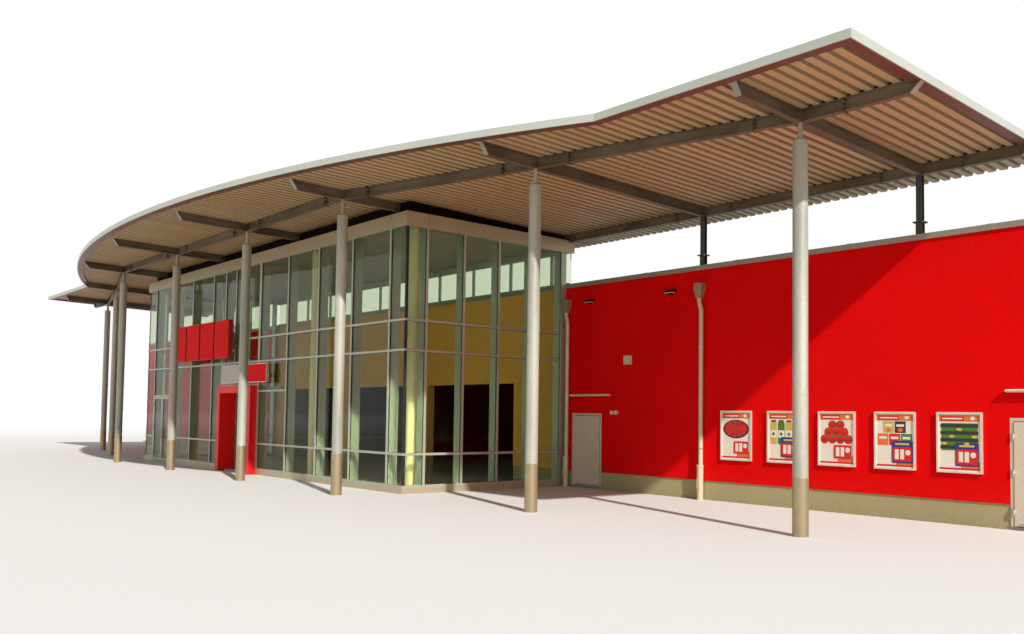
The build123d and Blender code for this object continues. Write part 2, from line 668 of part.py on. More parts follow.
def groove_face():
    """Section of the groove between two ribs of the deck."""
    return make_face(Polyline((-RIB_GAP_LOW / 2, -1), (RIB_GAP_LOW / 2, -1),
                              (RIB_GAP_HIGH / 2, RIB_DEEP), (-RIB_GAP_HIGH / 2, RIB_DEEP),
                              close=True))


def build_columns():
    tubes, sleeves, pins = [], [], []
    for x, y in COLUMNS:
        height = COLUMN_TOP - SLEEVE_TOP
        tube = Pos(x, y, SLEEVE_TOP + height / 2) * Cylinder(COLUMN_R, height)
        tubes.append(chamfer(tube.edges().sort_by(Axis.Z)[-1], COLUMN_CHAMFER))
        sleeves.append(Pos(x, y, SLEEVE_TOP / 2) * Cylinder(COLUMN_R + SLEEVE_OUT, SLEEVE_TOP))
        height = foot_z(y) + PIN_LOW_R - COLUMN_TOP
        pin = Pos(x, y, COLUMN_TOP + height / 2) * Cone(PIN_LOW_R, PIN_HIGH_R, height)
        pins.append(pin - over_beams(x - 99, x + 99, y - 99, y + 99))
    save("columns", together(tubes))
    save("column_sleeves", together(sleeves))
    save("column_pins", together(pins))
    build_posts()
    height = GLASS_TOP - FLOOR_TOP
    inner = [Pos(x, y, FLOOR_TOP + height / 2) * Cylinder(INNER_COLUMN_R, height)
             for x, y in INNER_COLUMNS]
    save("inner_columns", together(inner))


def build_posts():
    """Posts on the hall's front wall, under the rear beam, wherever the foyer doesn't carry it."""
    posts, flanges = [], []
    half = POST_FLANGE / 2
    for x, _ in COLUMNS:
        if FOYER_LEFT < x < FOYER_RIGHT:
            continue
        posts.append(roof_post(x, CAP_TOP, POST_FLANGE_Z, POST_FOOT_WIDE))
        post = roof_post(x, POST_FLANGE_Z + POST_FLANGE_THICK, BEAM_BOTTOM + 20, POST_WIDE)
        posts.append(post - over_beams(x - 99, x + 99, REAR_BEAM_Y - 99, REAR_BEAM_Y + 99))
        flanges.append(box(x - half, x + half, REAR_BEAM_Y - half, REAR_BEAM_Y + half,
                           POST_FLANGE_Z, POST_FLANGE_Z + POST_FLANGE_THICK))
    save("roof_posts", together(posts))
    save("post_flanges", together(flanges))


def roof_post(x, z0, z1, wide):
    """An H section standing on the parapet."""
    half, web, inner = wide / 2, POST_SHEET / 2, wide / 2 - POST_SHEET
    post = box(x - half, x + half, REAR_BEAM_Y - half, REAR_BEAM_Y + half, z0, z1)
    for sign in (-1, 1):
        x0, x1 = sorted((x + sign * web, x + sign * (half + 1)))
        post -= box(x0, x1, REAR_BEAM_Y - inner, REAR_BEAM_Y + inner, z0 - 1, z1 + 1)
    return post


def build_portal():
    y0, y1 = FOYER_FRONT - PORTAL_OUT, INNER_FACE
    inner_left, inner_right = PORTAL_LEFT + PORTAL_JAMB, PORTAL_RIGHT - PORTAL_JAMB
    top = PORTAL_TOP - PORTAL_JAMB
    jambs = [box(PORTAL_LEFT, inner_left, y0, y1, 0, top),
             box(inner_right, PORTAL_RIGHT, y0, y1, 0, top),
             box(PORTAL_LEFT, PORTAL_RIGHT, y0, y1, top + 1, PORTAL_TOP)]
    save("portal", together(jambs))
    middle = (PORTAL_LEFT + PORTAL_RIGHT) / 2
    wide = (inner_right - inner_left) / 2 + SLIDE_OVERLAP - SLIDE_MEET / 2
    y = INNER_FACE + SLIDE_GAP
    for name, sign in (("left", -1), ("right", 1)):
        x0, x1 = sorted((middle + sign * SLIDE_MEET / 2, middle + sign * (SLIDE_MEET / 2 + wide)))
        hangers = [hanger(x, y + SLIDE_THICK / 2) for x in (x0 + 110, x1 - 110)]
        save_leaf(f"slide_{name}", x0, x1, y, SLIDE_THICK, FLOOR_TOP + SILL_GAP, SLIDE_TOP,
                  SLIDE_FRAME, hangers)
    save("door_header", track(middle, 2 * wide + 10, y + SLIDE_THICK / 2))


def hanger(x, y):
    """Carrier of a sliding leaf: a stem through the slot and a roller on the lips."""
    lip = SLIDE_TOP + TRACK_UNDER + TRACK_LIP
    stem = box(x - 18, x + 18, y - 2.5, y + 2.5, SLIDE_TOP - 5, lip + ROLLER_R)
    roller = Pos(x, y, lip + HINGE_RUN + ROLLER_R) * Rot(90, 0, 0) * Cylinder(ROLLER_R, 20)
    return stem + roller


def track(middle, half, y):
    """The header over the way in, with the runway that the rollers stand in."""
    z0 = SLIDE_TOP + TRACK_UNDER
    body = box(middle - half, middle + half, INNER_FACE, y + 60, z0, z0 + 84)
    run = box(middle - half + 8, middle + half - 8, y - TRACK_HALL / 2, y + TRACK_HALL / 2,
              z0 + TRACK_LIP, z0 + 60)
    slot = box(middle - half + 8, middle + half - 8, y - TRACK_SLOT / 2, y + TRACK_SLOT / 2,
               z0 - 1, z0 + TRACK_LIP + 1)
    return body - run - slot


def save_leaf(name, x0, x1, y, thick, z0, z1, edge, extras):
    """A glazed leaf: a frame with its hardware, and its pane held in the middle of it."""
    frame = box(x0, x1, y, y + thick, z0, z1)
    frame -= box(x0 + edge, x1 - edge, y - 1, y + thick + 1, z0 + edge, z1 - edge)
    for extra in extras:
        frame += extra
    save(f"{name}_frame", frame)
    mid = y + thick / 2
    save(f"{name}_glass", box(x0 + edge, x1 - edge, mid - 5, mid + 5, z0 + edge, z1 - edge))


def build_side_door():
    x0, x1 = SIDE_DOOR
    middle = (x0 + x1) / 2
    y = FOYER_FRONT
    z0, z1 = FLOOR_TOP + SILL_GAP, SIDE_TOP - DOOR_GAP
    fixed = []
    for name, a, b, axis, side in (
            ("left", x0 + DOOR_GAP, middle - LATCH_GAP / 2, x0 + DOOR_GAP / 2, 1),
            ("right", middle + LATCH_GAP / 2, x1 - DOOR_GAP, x1 - DOOR_GAP / 2, -1)):
        spots = [(axis, y - HINGE_OUT, z) for z in hinge_heights(z0, z1)]
        pull = pull_handle(b - 20 if side > 0 else a + 20, y)
        save_leaf(f"side_{name}", a, b, y, SIDE_THICK, z0, z1, SIDE_FRAME,
                  [leaf_hinge(spot, side) for spot in spots] + [pull])
        fixed += [frame_hinge(spot, side, y) for spot in spots]
    return fixed


def pull_handle(x, y):
    """An upright bar handle on two stubs."""
    z = FLOOR_TOP + 520
    bar = Pos(x, y - 26, z) * Cylinder(7, 240)
    for dz in (-90, 90):
        bar += Pos(x, y - 12, z + dz) * Rot(90, 0, 0) * Cylinder(5, 28)
    return bar


def hinge_heights(z0, z1):
    return z0 + 120, (z0 + z1) / 2, z1 - 150


def leaf_hinge(spot, side):
    """The knuckle on a leaf, bored for the pin, with its plate."""
    x, y, z = spot
    mid = z + HINGE_LEAF_LONG / 2
    knuckle = Pos(x, y, mid) * Cylinder(HINGE_R, HINGE_LEAF_LONG)
    a, b = sorted((x, x + side * (DOOR_GAP / 2 + HINGE_PLATE)))
    knuckle += box(a, b, y + HINGE_OUT / 2, y + HINGE_OUT + 1, z, z + HINGE_LEAF_LONG)
    return knuckle - Pos(x, y, mid) * Cylinder(HINGE_PIN_R + HINGE_RUN, HINGE_LEAF_LONG + 2)


def frame_hinge(spot, side, seat):
    """The fixed half: a knuckle above and below, the pin, and plates on the frame."""
    x, y, z = spot
    z0, z1 = z - HINGE_RUN - HINGE_FRAME_LONG, z + HINGE_LEAF_LONG + HINGE_RUN + HINGE_FRAME_LONG
    part = Pos(x, y, (z0 + z1) / 2) * Cylinder(HINGE_PIN_R, z1 - z0)
    a, b = sorted((x, x - side * HINGE_PLATE))
    for low in (z0, z1 - HINGE_FRAME_LONG):
        high = low + HINGE_FRAME_LONG
        part += Pos(x, y, (low + high) / 2) * Cylinder(HINGE_R, HINGE_FRAME_LONG)
        part += box(a, b, y + HINGE_OUT / 2, seat, low, high)
    return part


def build_service_doors():
    frames, fixed = [], build_side_door()
    for i, x in enumerate(SERVICE_X):
        x0, x1 = x + JAMB, x + SERVICE_W - JAMB
        y0, y1 = HALL_FRONT, HALL_FRONT + 60
        frame = box(x, x + SERVICE_W, y0, y1, FLOOR_TOP, SERVICE_H)
        frame -= box(x0, x1, y0 - 1, y1 + 1, FLOOR_TOP - 1, SERVICE_H - JAMB)
        frames.append(frame)
        face, low, high = y0 - DOOR_OUT, FLOOR_TOP + SILL_GAP, SERVICE_H - JAMB - DOOR_GAP
        leaf = box(x0 + DOOR_GAP, x1 - LATCH_GAP, face, face + DOOR_THICK, low, high)
        leaf += lever(x1 - LATCH_GAP - 35, face)
        for z in hinge_heights(low, high):
            spot = (x0 + DOOR_GAP / 2, face - HINGE_OUT, z)
            leaf += leaf_hinge(spot, 1)
            fixed.append(frame_hinge(spot, 1, y0))
        save(f"service_door_{i + 1}", leaf)
    save("service_door_frames", together(frames))
    save("hinge_pins", together(fixed))


def lever(x, y):
    """A lever handle on its plate, on the outer face of a leaf."""
    z = FLOOR_TOP + 500
    return (box(x - 12, x + 12, y - 4, y, z - 60, z + 50)
            + box(x - 6, x + 6, y - 22, y - 4, z - 6, z + 6)
            + box(x - 62, x + 6, y - 28, y - 18, z - 6, z + 6))


def build_fittings():
    frames = []
    for i in range(POSTER_COUNT):
        x = POSTER_X + POSTER_PITCH * i
        half = POSTER_W / 2
        y0, z0, z1 = HALL_FRONT - POSTER_DEEP, POSTER_Z[0], POSTER_Z[1]
        tray = box(x - half, x + half, y0, HALL_FRONT, z0, z1)
        tray -= box(x - half + POSTER_EDGE, x + half - POSTER_EDGE, y0 - 1, HALL_FRONT - 10,
                    z0 + POSTER_EDGE, z1 - POSTER_EDGE)
        frames.append(tray)
    save("poster_frames", together(frames))
    save("downpipes", together([downpipe(x) for x in PIPE_X]))
    save("hoppers", together([hopper(x) for x in PIPE_X]))
    lights = [box(x - LIGHT_SHIFT, x - LIGHT_SHIFT + LIGHT_W, HALL_FRONT - LIGHT_DEEP, HALL_FRONT,
                  LIGHT_Z - 15, LIGHT_Z + 15) for x in SERVICE_X]
    save("line_lights", together(lights))
    small = [box(*BOX_X, HALL_FRONT - BOX_DEEP, HALL_FRONT, *BOX_Z)]
    small += [box(x - LAMP_W / 2, x + LAMP_W / 2, HALL_FRONT - LAMP_DEEP, HALL_FRONT, *LAMP_Z)
              for x in LAMP_X]
    small += [Pos(x, HALL_FRONT - 20, ROUND_Z) * Rot(90, 0, 0) * Cylinder(ROUND_R, 40)
              for x in ROUND_X]
    save("wall_fittings", together(small))


def downpipe(x):
    """A rain pipe with an offset below the hopper and a wider stand pipe at the foot."""
    y = HALL_FRONT - PIPE_R - 12
    top = HOPPER_Z[0]
    path = Polyline((x - 12, y, top), (x - 12, y, top - 40), (x + 18, y, top - 150),
                    (x + 18, y, STAND_PIPE_TOP - 20))
    pipe = sweep(Plane((x - 12, y, top), z_dir=(0, 0, -1)) * Circle(PIPE_R), path=path,
                 transition=Transition.RIGHT)
    foot = Pos(x + 18, y - 8, STAND_PIPE_TOP / 2) * Cylinder(STAND_PIPE_R, STAND_PIPE_TOP)
    return pipe + foot


def hopper(x):
    """A rain head, square above and drawn in to the pipe below."""
    z0, z1 = HOPPER_Z
    half = HOPPER_W / 2
    top = box(x - half, x + half, HALL_FRONT - 95, HALL_FRONT, z0 + 110, z1)
    low = Plane.XY.offset(z0) * Pos(x - 12, HALL_FRONT - PIPE_R - 12) * Rectangle(64, 60)
    high = Plane.XY.offset(z0 + 110) * Pos(x, HALL_FRONT - 47.5) * Rectangle(HOPPER_W, 95)
    return top + loft([low, high])


def build_signs():
    x0, x1 = SIGN_PANEL_X
    z0, z1 = SIGN_PANEL_Z
    save("sign_panel", box(x0, x1, SIGN_PANEL_Y, SIGN_PANEL_Y + 40, z0, z1))
    wide = (SIGN_X[1] - SIGN_X[0] - SIGN_SPACE * (SIGN_BLOCKS - 1)) / SIGN_BLOCKS
    blocks, arms = [], []
    for i in range(SIGN_BLOCKS):
        x = SIGN_X[0] + i * (wide + SIGN_SPACE)
        block = box(x, x + wide, SIGN_Y, SIGN_Y + SIGN_DEEP, SIGN_Z[0], SIGN_Z[1])
        blocks.append(fillet(block.edges().filter_by(Axis.Y), 40))
    save("sign_blocks", together(blocks))
    rear = SIGN_Y + SIGN_DEEP
    for z in (SIGN_Z[0] + 130, SIGN_Z[1] - 130):
        arms.append(box(SIGN_X[0] + 30, SIGN_X[1] + 40, rear, rear + 24, z - 12, z + 12))
        for x in (MULLIONS[5], MULLIONS[6], MULLIONS[7]):
            arms.append(box(x - 10, x + 10, rear + 24, FOYER_FRONT, z - 10, z + 10))
    for x in (MULLIONS[4], MULLIONS[5]):
        arms.append(box(x - 10, x + 10, SIGN_PANEL_Y + 40, FOYER_FRONT, 1600, 1620))
    save("sign_arms", together(arms))


def main():
    os.makedirs("parts", exist_ok=True)
    build_hall()
    build_glazing()
    build_foyer_top()
    build_beams()
    build_canopy()
    build_columns()
    build_portal()
    build_service_doors()
    build_fittings()
    build_signs()


main()
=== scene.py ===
import logging
import math
from collections.abc import Callable, Iterator
from contextlib import contextmanager
from dataclasses import dataclass
from enum import Enum
from functools import cache, partial, reduce
from itertools import product

import bpy
from mathutils import Matrix, Vector


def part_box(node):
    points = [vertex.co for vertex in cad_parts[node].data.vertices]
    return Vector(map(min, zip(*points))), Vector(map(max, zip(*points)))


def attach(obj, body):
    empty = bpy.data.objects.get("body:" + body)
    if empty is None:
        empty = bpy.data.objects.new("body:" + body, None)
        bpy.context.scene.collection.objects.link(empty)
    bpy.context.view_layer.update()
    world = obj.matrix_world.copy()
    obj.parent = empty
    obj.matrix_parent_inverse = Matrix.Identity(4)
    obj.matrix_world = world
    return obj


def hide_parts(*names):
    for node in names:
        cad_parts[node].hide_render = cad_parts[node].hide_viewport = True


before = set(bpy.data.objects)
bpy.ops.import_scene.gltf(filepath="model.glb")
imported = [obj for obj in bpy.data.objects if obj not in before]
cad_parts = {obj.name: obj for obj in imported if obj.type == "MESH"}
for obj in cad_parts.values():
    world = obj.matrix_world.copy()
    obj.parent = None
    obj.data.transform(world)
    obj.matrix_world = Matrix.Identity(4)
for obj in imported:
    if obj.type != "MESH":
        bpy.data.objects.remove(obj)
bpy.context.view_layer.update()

LOG = logging.getLogger("supermarket")

Colour = tuple[float, float, float]
Point = tuple[float, float, float]
Box = tuple[Vector, Vector]
Socket = bpy.types.NodeSocket
Node = bpy.types.Node
Thing = bpy.types.Object
Material = bpy.types.Material
EVEN: Point = (1.0, 1.0, 1.0)


class Face(Enum):
    """The way a face looks, as its normal."""

    FRONT = (0.0, -1.0, 0.0)
    LEFT = (-1.0, 0.0, 0.0)
    REAR = (0.0, 1.0, 0.0)
    RIGHT = (1.0, 0.0, 0.0)
    TOP = (0.0, 0.0, 1.0)
    FOOT = (0.0, 0.0, -1.0)


class Part(Enum):
    """The parts of a mesh that can be selected, in Blender's order."""

    POINT = 0
    EDGE = 1
    FACE = 2


def take(*things: Thing) -> None:
    """Select only these objects, the first of them active.

    Args:
        things: the objects to work on.
    """
    bpy.ops.object.select_all(action="DESELECT")
    for thing in things:
        thing.select_set(True)
    bpy.context.view_layer.objects.active = things[0]


def fix(thing: Thing) -> Thing:
    """Put an object's place, turn and scale into its mesh.

    Args:
        thing: the object.

    Returns:
        The same object, now at the origin.
    """
    take(thing)
    bpy.ops.object.transform_apply(location=True, rotation=True, scale=True)
    return thing


def block(low: Point, high: Point) -> Thing:
    """Start from a cube between two corners.

    Args:
        low: lowest corner.
        high: highest corner.

    Returns:
        The new object.
    """
    bpy.ops.mesh.primitive_cube_add(size=1, location=[(a + b) / 2 for a, b in zip(low, high)])
    bpy.context.object.scale = [b - a for a, b in zip(low, high)]
    return fix(bpy.context.object)


def rod(start: Point, end: Point, radius: float, sides: int = 24) -> Thing:
    """Start from a cylinder between two points.

    Args:
        start: middle of one end.
        end: middle of the other end.
        radius: half the thickness.
        sides: flats round the rod.

    Returns:
        The new object.
    """
    along = Vector(end) - Vector(start)
    bpy.ops.mesh.primitive_cylinder_add(vertices=sides, radius=radius, depth=along.length,
                                        location=(Vector(start) + Vector(end)) / 2)
    bpy.context.object.rotation_euler = along.to_track_quat("Z", "Y").to_euler()
    return fix(bpy.context.object)


@contextmanager
def picked(thing: Thing, test: Callable[[object], bool], kind: Part = Part.FACE) -> Iterator[None]:
    """Hold a mesh in edit mode with the parts selected that pass a test.

    Args:
        thing: the object to edit.
        test: says whether a part is selected.
        kind: the kind of part that is tested.

    Yields:
        Nothing; the operators run inside.
    """
    take(thing)
    bpy.context.tool_settings.mesh_select_mode = [other is kind for other in Part]
    mesh = thing.data
    for other, parts in zip(Part, (mesh.vertices, mesh.edges, mesh.polygons)):
        for part in parts:
            part.select = other is kind and test(part)
    bpy.ops.object.mode_set(mode="EDIT")
    yield
    bpy.ops.object.mode_set(mode="OBJECT")


def looks(face: Face) -> Callable[[bpy.types.MeshPolygon], bool]:
    """A test for the faces that look one way."""
    return lambda polygon: polygon.normal.dot(Vector(face.value)) > 0.99


def inset(thing: Thing, face: Face, wide: float, deep: float) -> Thing:
    """Draw a border inside the faces that look one way, then sink or raise what is within it.

    Args:
        thing: the object.
        face: the faces to work on.
        wide: width of the border.
        deep: how far the middle sinks; less than nothing raises it.

    Returns:
        The same object.
    """
    with picked(thing, looks(face)):
        bpy.ops.mesh.inset(thickness=wide, depth=0, use_even_offset=True)
        move = [-deep * part for part in face.value]
        bpy.ops.mesh.extrude_region_move(TRANSFORM_OT_translate={"value": move})
    return thing


def ease(thing: Thing, wide: float, steps: int = 2, angle: float = 40.0) -> Thing:
    """Round every sharp edge.

    Args:
        thing: the object.
        wide: size of the rounding.
        steps: facets across it.
        angle: edges sharper than this many degrees are rounded.

    Returns:
        The same object.
    """
    take(thing)
    bevel = thing.modifiers.new("ease", "BEVEL")
    bevel.width = wide
    bevel.segments = steps
    bevel.limit_method = "ANGLE"
    bevel.angle_limit = math.radians(angle)
    bpy.ops.object.modifier_apply(modifier=bevel.name)
    return thing


def round_corners(thing: Thing, radius: float) -> Thing:
    """Round the edges that run front to back, as on a plate.

    Args:
        thing: the object.
        radius: of the corners.

    Returns:
        The same object.
    """
    def runs_back(edge: bpy.types.MeshEdge) -> bool:
        """Tell whether an edge runs front to back."""
        start, end = (thing.data.vertices[i].co for i in edge.vertices)
        return abs((end - start).normalized().y) > 0.99

    with picked(thing, runs_back, Part.EDGE):
        bpy.ops.mesh.bevel(offset=radius, segments=4, affect="EDGES")
    return thing


def taper(thing: Thing, face: Face, share: Point, shift: Point = (0.0, 0.0, 0.0)) -> Thing:
    """Scale and move the faces that look one way.

    Args:
        thing: the object.
        face: the faces to work on.
        share: scale along each axis.
        shift: movement after it.

    Returns:
        The same object.
    """
    with picked(thing, looks(face)):
        bpy.ops.transform.resize(value=share)
        bpy.ops.transform.translate(value=shift)
    return thing


def copies(pattern: Thing, places: list[Matrix]) -> list[Thing]:
    """Copy a finished shape to many places, each copy with a mesh of its own.

    Args:
        pattern: the shape, modelled at the origin; it is used up.
        places: where each copy goes.

    Returns:
        The copies.
    """
    made = []
    for place in places:
        copy = pattern.copy()
        copy.data = pattern.data.copy()
        bpy.context.collection.objects.link(copy)
        copy.matrix_world = place
        made.append(copy)
    bpy.data.objects.remove(pattern)
    return made


def solids(node: str) -> list[Box]:
    """The boxes of a node's separate solids, left to right.

    Args:
        node: the node's name.

    Returns:
        Lowest and highest corner of each solid.
    """
    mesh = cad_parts[node].data
    keys = [tuple(round(c, 5) for c in vertex.co) for vertex in mesh.vertices]
    leader = {key: key for key in keys}

    def lead(key: Point) -> Point:
        """Follow a corner to the one that stands for its solid.

        Args:
            key: the corner.

        Returns:
            The corner that every corner of the solid leads to.
        """
        while leader[key] != key:
            leader[key] = leader[leader[key]]
            key = leader[key]
        return key

    for face in mesh.polygons:
        first = lead(keys[face.vertices[0]])
        for index in face.vertices[1:]:
            leader[lead(keys[index])] = first
    groups: dict[Point, list[Point]] = {}
    for key in leader:
        groups.setdefault(lead(key), []).append(key)
    boxes = [(Vector(map(min, *group)), Vector(map(max, *group))) for group in groups.values()]
    return sorted(boxes, key=lambda pair: (round(pair[0].x, 4), pair[0].y, pair[0].z))


class Tree:
    """A tree of shader nodes."""

    def __init__(self, tree: bpy.types.NodeTree) -> None:
        """Begin with an empty tree."""
        self.tree = tree
        self.tree.nodes.clear()

    def feed(self, node: Node, values: dict[str | int, object]) -> Node:
        """Wire a node's inputs or set their values.

        Args:
            node: the node.
            values: a socket, number, vector or colour for each input; None leaves it alone.

        Returns:
            The same node.
        """
        for key, value in values.items():
            target = node.inputs[key]
            if isinstance(value, bpy.types.NodeSocket):
                self.tree.links.new(value, target)
            elif value is not None:
                target.default_value = (*value, 1.0) if target.type == "RGBA" else value
        return node

    def add(self, kind: str, values: dict[str | int, object] | None = None,
            **settings: object) -> Node:
        """Add a node.

        Args:
            kind: the node's type, without ShaderNode before it.
            values: what goes into its inputs.
            settings: its properties.

        Returns:
            The node.
        """
        node = self.tree.nodes.new("ShaderNode" + kind)
        for key, value in settings.items():
            setattr(node, key, value)
        return self.feed(node, values or {})

    def maths(self, operation: str, first: object, second: object = 0.0) -> Socket:
        """One step of arithmetic with sockets or numbers."""
        return self.add("Math", {0: first, 1: second}, operation=operation).outputs[0]

    def fold(self, operation: str, sockets: list[Socket]) -> Socket:
        """Join any number of sockets with one kind of arithmetic."""
        return reduce(partial(self.maths, operation), sockets)

    def seen(self) -> Socket:
        """1 for the camera, mirror and glass rays that show the background, otherwise 0."""
        path = self.add("LightPath").outputs
        return self.fold("MAXIMUM", [path[f"Is {kind} Ray"]
                                     for kind in ("Camera", "Glossy", "Transmission")])


class Recipe(Tree):
    """A material's node tree, with short words for the steps that the finishes share."""

    def __init__(self, name: str) -> None:
        """Begin a material with one surface shader.

        Args:
            name: the material's name.
        """
        self.material = bpy.data.materials.new(name)
        self.material.use_nodes = True
        super().__init__(self.material.node_tree)
        self.shader = self.add("BsdfPrincipled")
        self.out = self.add("OutputMaterial", {"Surface": self.shader.outputs["BSDF"]})
        self.here = self.add("TexCoord").outputs["Object"]

    def axis(self, name: str) -> Socket:
        """One coordinate of the place on the object, in metres."""
        return self.add("SeparateXYZ", {0: self.here}).outputs[name]

    def noise(self, scale: float, detail: float = 3.0, stretch: Point = EVEN) -> Socket:
        """Soft noise from 0 to 1: clouds a metre, how finely they break up, scale of each axis."""
        place = self.add("Mapping", {"Vector": self.here, "Scale": stretch}).outputs["Vector"]
        return self.add("TexNoise", {"Vector": place, "Scale": scale, "Detail": detail}).outputs["Fac"]

    def cells(self, scale: float) -> Socket:
        """Crystals, so many a metre, each with a tone of its own from 0 to 1."""
        crystals = self.add("TexVoronoi", {"Vector": self.here, "Scale": scale})
        return self.add("SeparateColor", {0: crystals.outputs["Color"]}).outputs[0]

    def span(self, value: Socket, low: float, high: float, start: float = 0.0,
             end: float = 1.0) -> Socket:
        """Stretch the values from low to high over start to end, and cut off what lies outside."""
        return self.add("MapRange", {"Value": value, "From Min": low, "From Max": high,
                                     "To Min": start, "To Max": end}, clamp=True).outputs["Result"]

    def clouds(self, scale: float, detail: float, low: float, high: float,
               stretch: Point = EVEN) -> Socket:
        """Noise of which the values from low to high become 0 to 1."""
        return self.span(self.noise(scale, detail, stretch), low, high)

    def mix(self, share: object, first: object, second: object) -> Socket:
        """Mix a share of the second colour into the first."""
        return self.add("Mix", {0: share, 6: first, 7: second}, data_type="RGBA").outputs[2]

    def stain(self, tone: object, where: Socket, share: float, colour: Colour) -> Socket:
        """Mix up to a share of a colour into a tone, where a value says so."""
        return self.mix(self.maths("MULTIPLY", where, share), tone, colour)

    def seam(self, name: str, pitch: float, wide: float) -> Socket:
        """Lines at a steady pitch along an axis: 1 on a line and 0 between lines."""
        away = self.maths("PINGPONG", self.axis(name), pitch / 2)
        return self.span(away, wide / 2, wide / 4)

    def within(self, low: Point, high: Point) -> Socket:
        """Tell whether the place lies in a box: 1 inside and 0 outside."""
        sides = (("GREATER_THAN", low), ("LESS_THAN", high))
        return self.fold("MULTIPLY", [self.maths(test, self.axis(name), edge) for test, corner in sides
                                      for name, edge in zip("XYZ", corner)])

    def relief(self, height: Socket, depth: float, under: Socket | None = None) -> Socket:
        """Raise the surface by a depth in metres where the height is 1, over an earlier relief."""
        return self.add("Bump", {"Distance": depth, "Height": height, "Normal": under}).outputs["Normal"]

    def done(self, colour: object, roughness: object, normal: Socket | None = None,
             metal: float = 0.0, gloss: float = 0.5, coat: float = 0.0) -> Material:
        """Wire what was made into the shader, and give the finished material."""
        self.feed(self.shader, {"Base Color": colour, "Roughness": roughness, "Normal": normal,
                                "Metallic": metal, "Specular IOR Level": gloss, "Coat Weight": coat})
        return self.material


def darker(colour: Colour, share: float) -> Colour:
    """A colour with less light in it."""
    return tuple(part * share for part in colour)


@dataclass(frozen=True)
class Finish:
    """What every finish has."""

    name: str
    colour: Colour

    def material(self) -> Material:
        """Make the finish's material."""
        raise NotImplementedError


@dataclass(frozen=True)
class MineralRender(Finish):
    """Coloured render: trowel patches, grains, rain streaks below the cap, splashes at the foot."""

    dirt: Colour = (0.16, 0.12, 0.09)
    streaks: tuple[float, float] = (2.35, 2.87)
    splashes: tuple[float, float] = (0.42, 0.235)
    grain: float = 0.0007
    patch: float = 0.0016
    dirt_share: float = 0.10
    inside: Colour | None = None
    rooms: tuple[Point, Point] = ((-12.26, -3.66, -1.0), (12.26, 8.50, 4.0))

    def material(self) -> Material:
        """Make the render's material, with plain plaster on the faces inside the rooms, its grey
        darkened as painted shade of the unlit hall.

        Returns:
            The material.
        """
        r = Recipe(self.name)
        blotches = r.clouds(23.0, 3.0, 0.3, 0.75)
        tone = r.mix(r.clouds(1.7, 4.0, 0.35, 0.7), self.colour, darker(self.colour, 0.9))
        tone = r.stain(tone, blotches, 0.5, darker(self.colour, 0.86))
        wet = r.maths("MULTIPLY", r.clouds(9.0, 4.0, 0.52, 0.8, (1.0, 1.0, 0.045)),
                      r.span(r.axis("Z"), *self.streaks))
        splash = r.maths("MULTIPLY", r.clouds(38.0, 5.0, 0.42, 0.62),
                         r.span(r.axis("Z"), *self.splashes))
        tone = r.stain(tone, r.maths("MAXIMUM", wet, splash), self.dirt_share, self.dirt)
        # Painted shade: the faces inside the rooms get a dark plaster grey that stands for the shade in
        # the unlit hall.
        if self.inside is not None:
            tone = r.mix(r.within(*self.rooms), tone, self.inside)
        normal = r.relief(r.noise(520.0, 3.0), self.grain, r.relief(r.noise(7.0, 2.0), self.patch))
        return r.done(tone, r.span(blotches, 0.0, 1.0, 0.8, 0.93), normal, gloss=0.08)


@dataclass(frozen=True)
class PaintedMetal(Finish):
    """Powder-coated sheet or profile: fine orange peel, a little dust and slow changes of tone."""

    roughness: float = 0.42
    metal: float = 0.0
    dust: float = 0.14
    coat: float = 0.0
    gloss: float = 0.5

    def material(self) -> Material:
        """Make the coated metal's material.

        Returns:
            The material.
        """
        r = Recipe(self.name)
        specks = r.clouds(60.0, 6.0, 0.5, 0.72)
        tone = r.mix(r.clouds(1.3, 3.0, 0.3, 0.7), self.colour, darker(self.colour, 0.93))
        tone = r.stain(tone, specks, self.dust, (0.36, 0.33, 0.29))
        rough = r.span(specks, 0.0, 1.0, self.roughness, min(1.0, self.roughness + 0.18))
        normal = r.relief(r.noise(700.0, 1.0), 0.00012)
        return r.done(tone, rough, normal, self.metal, self.gloss, self.coat)


@dataclass(frozen=True)
class ZincMetal(Finish):
    """Hot-dip galvanised or zinc-painted steel: crystals, run marks and a dull weathered bloom."""

    bloom: Colour
    crystals: float = 95.0
    roughness: float = 0.5
    metal: float = 0.35
    runs: Point = (1.0, 1.0, 0.12)

    def material(self) -> Material:
        """Make the zinc surface's material.

        Returns:
            The material.
        """
        r = Recipe(self.name)
        grains = r.cells(self.crystals)
        clouds = r.clouds(5.5, 5.0, 0.35, 0.68, self.runs)
        tone = r.mix(clouds, self.colour, self.bloom)
        tone = r.stain(tone, grains, 0.3, darker(self.colour, 0.72))
        tone = r.stain(tone, r.clouds(160.0, 2.0, 0.6, 0.75, (1.0, 1.0, 0.06)), 0.16, self.bloom)
        rough = r.span(clouds, 0.0, 1.0, self.roughness - 0.1, self.roughness + 0.12)
        normal = r.relief(r.noise(14.0, 3.0), 0.0008, r.relief(grains, 0.00015))
        return r.done(tone, rough, normal, self.metal)


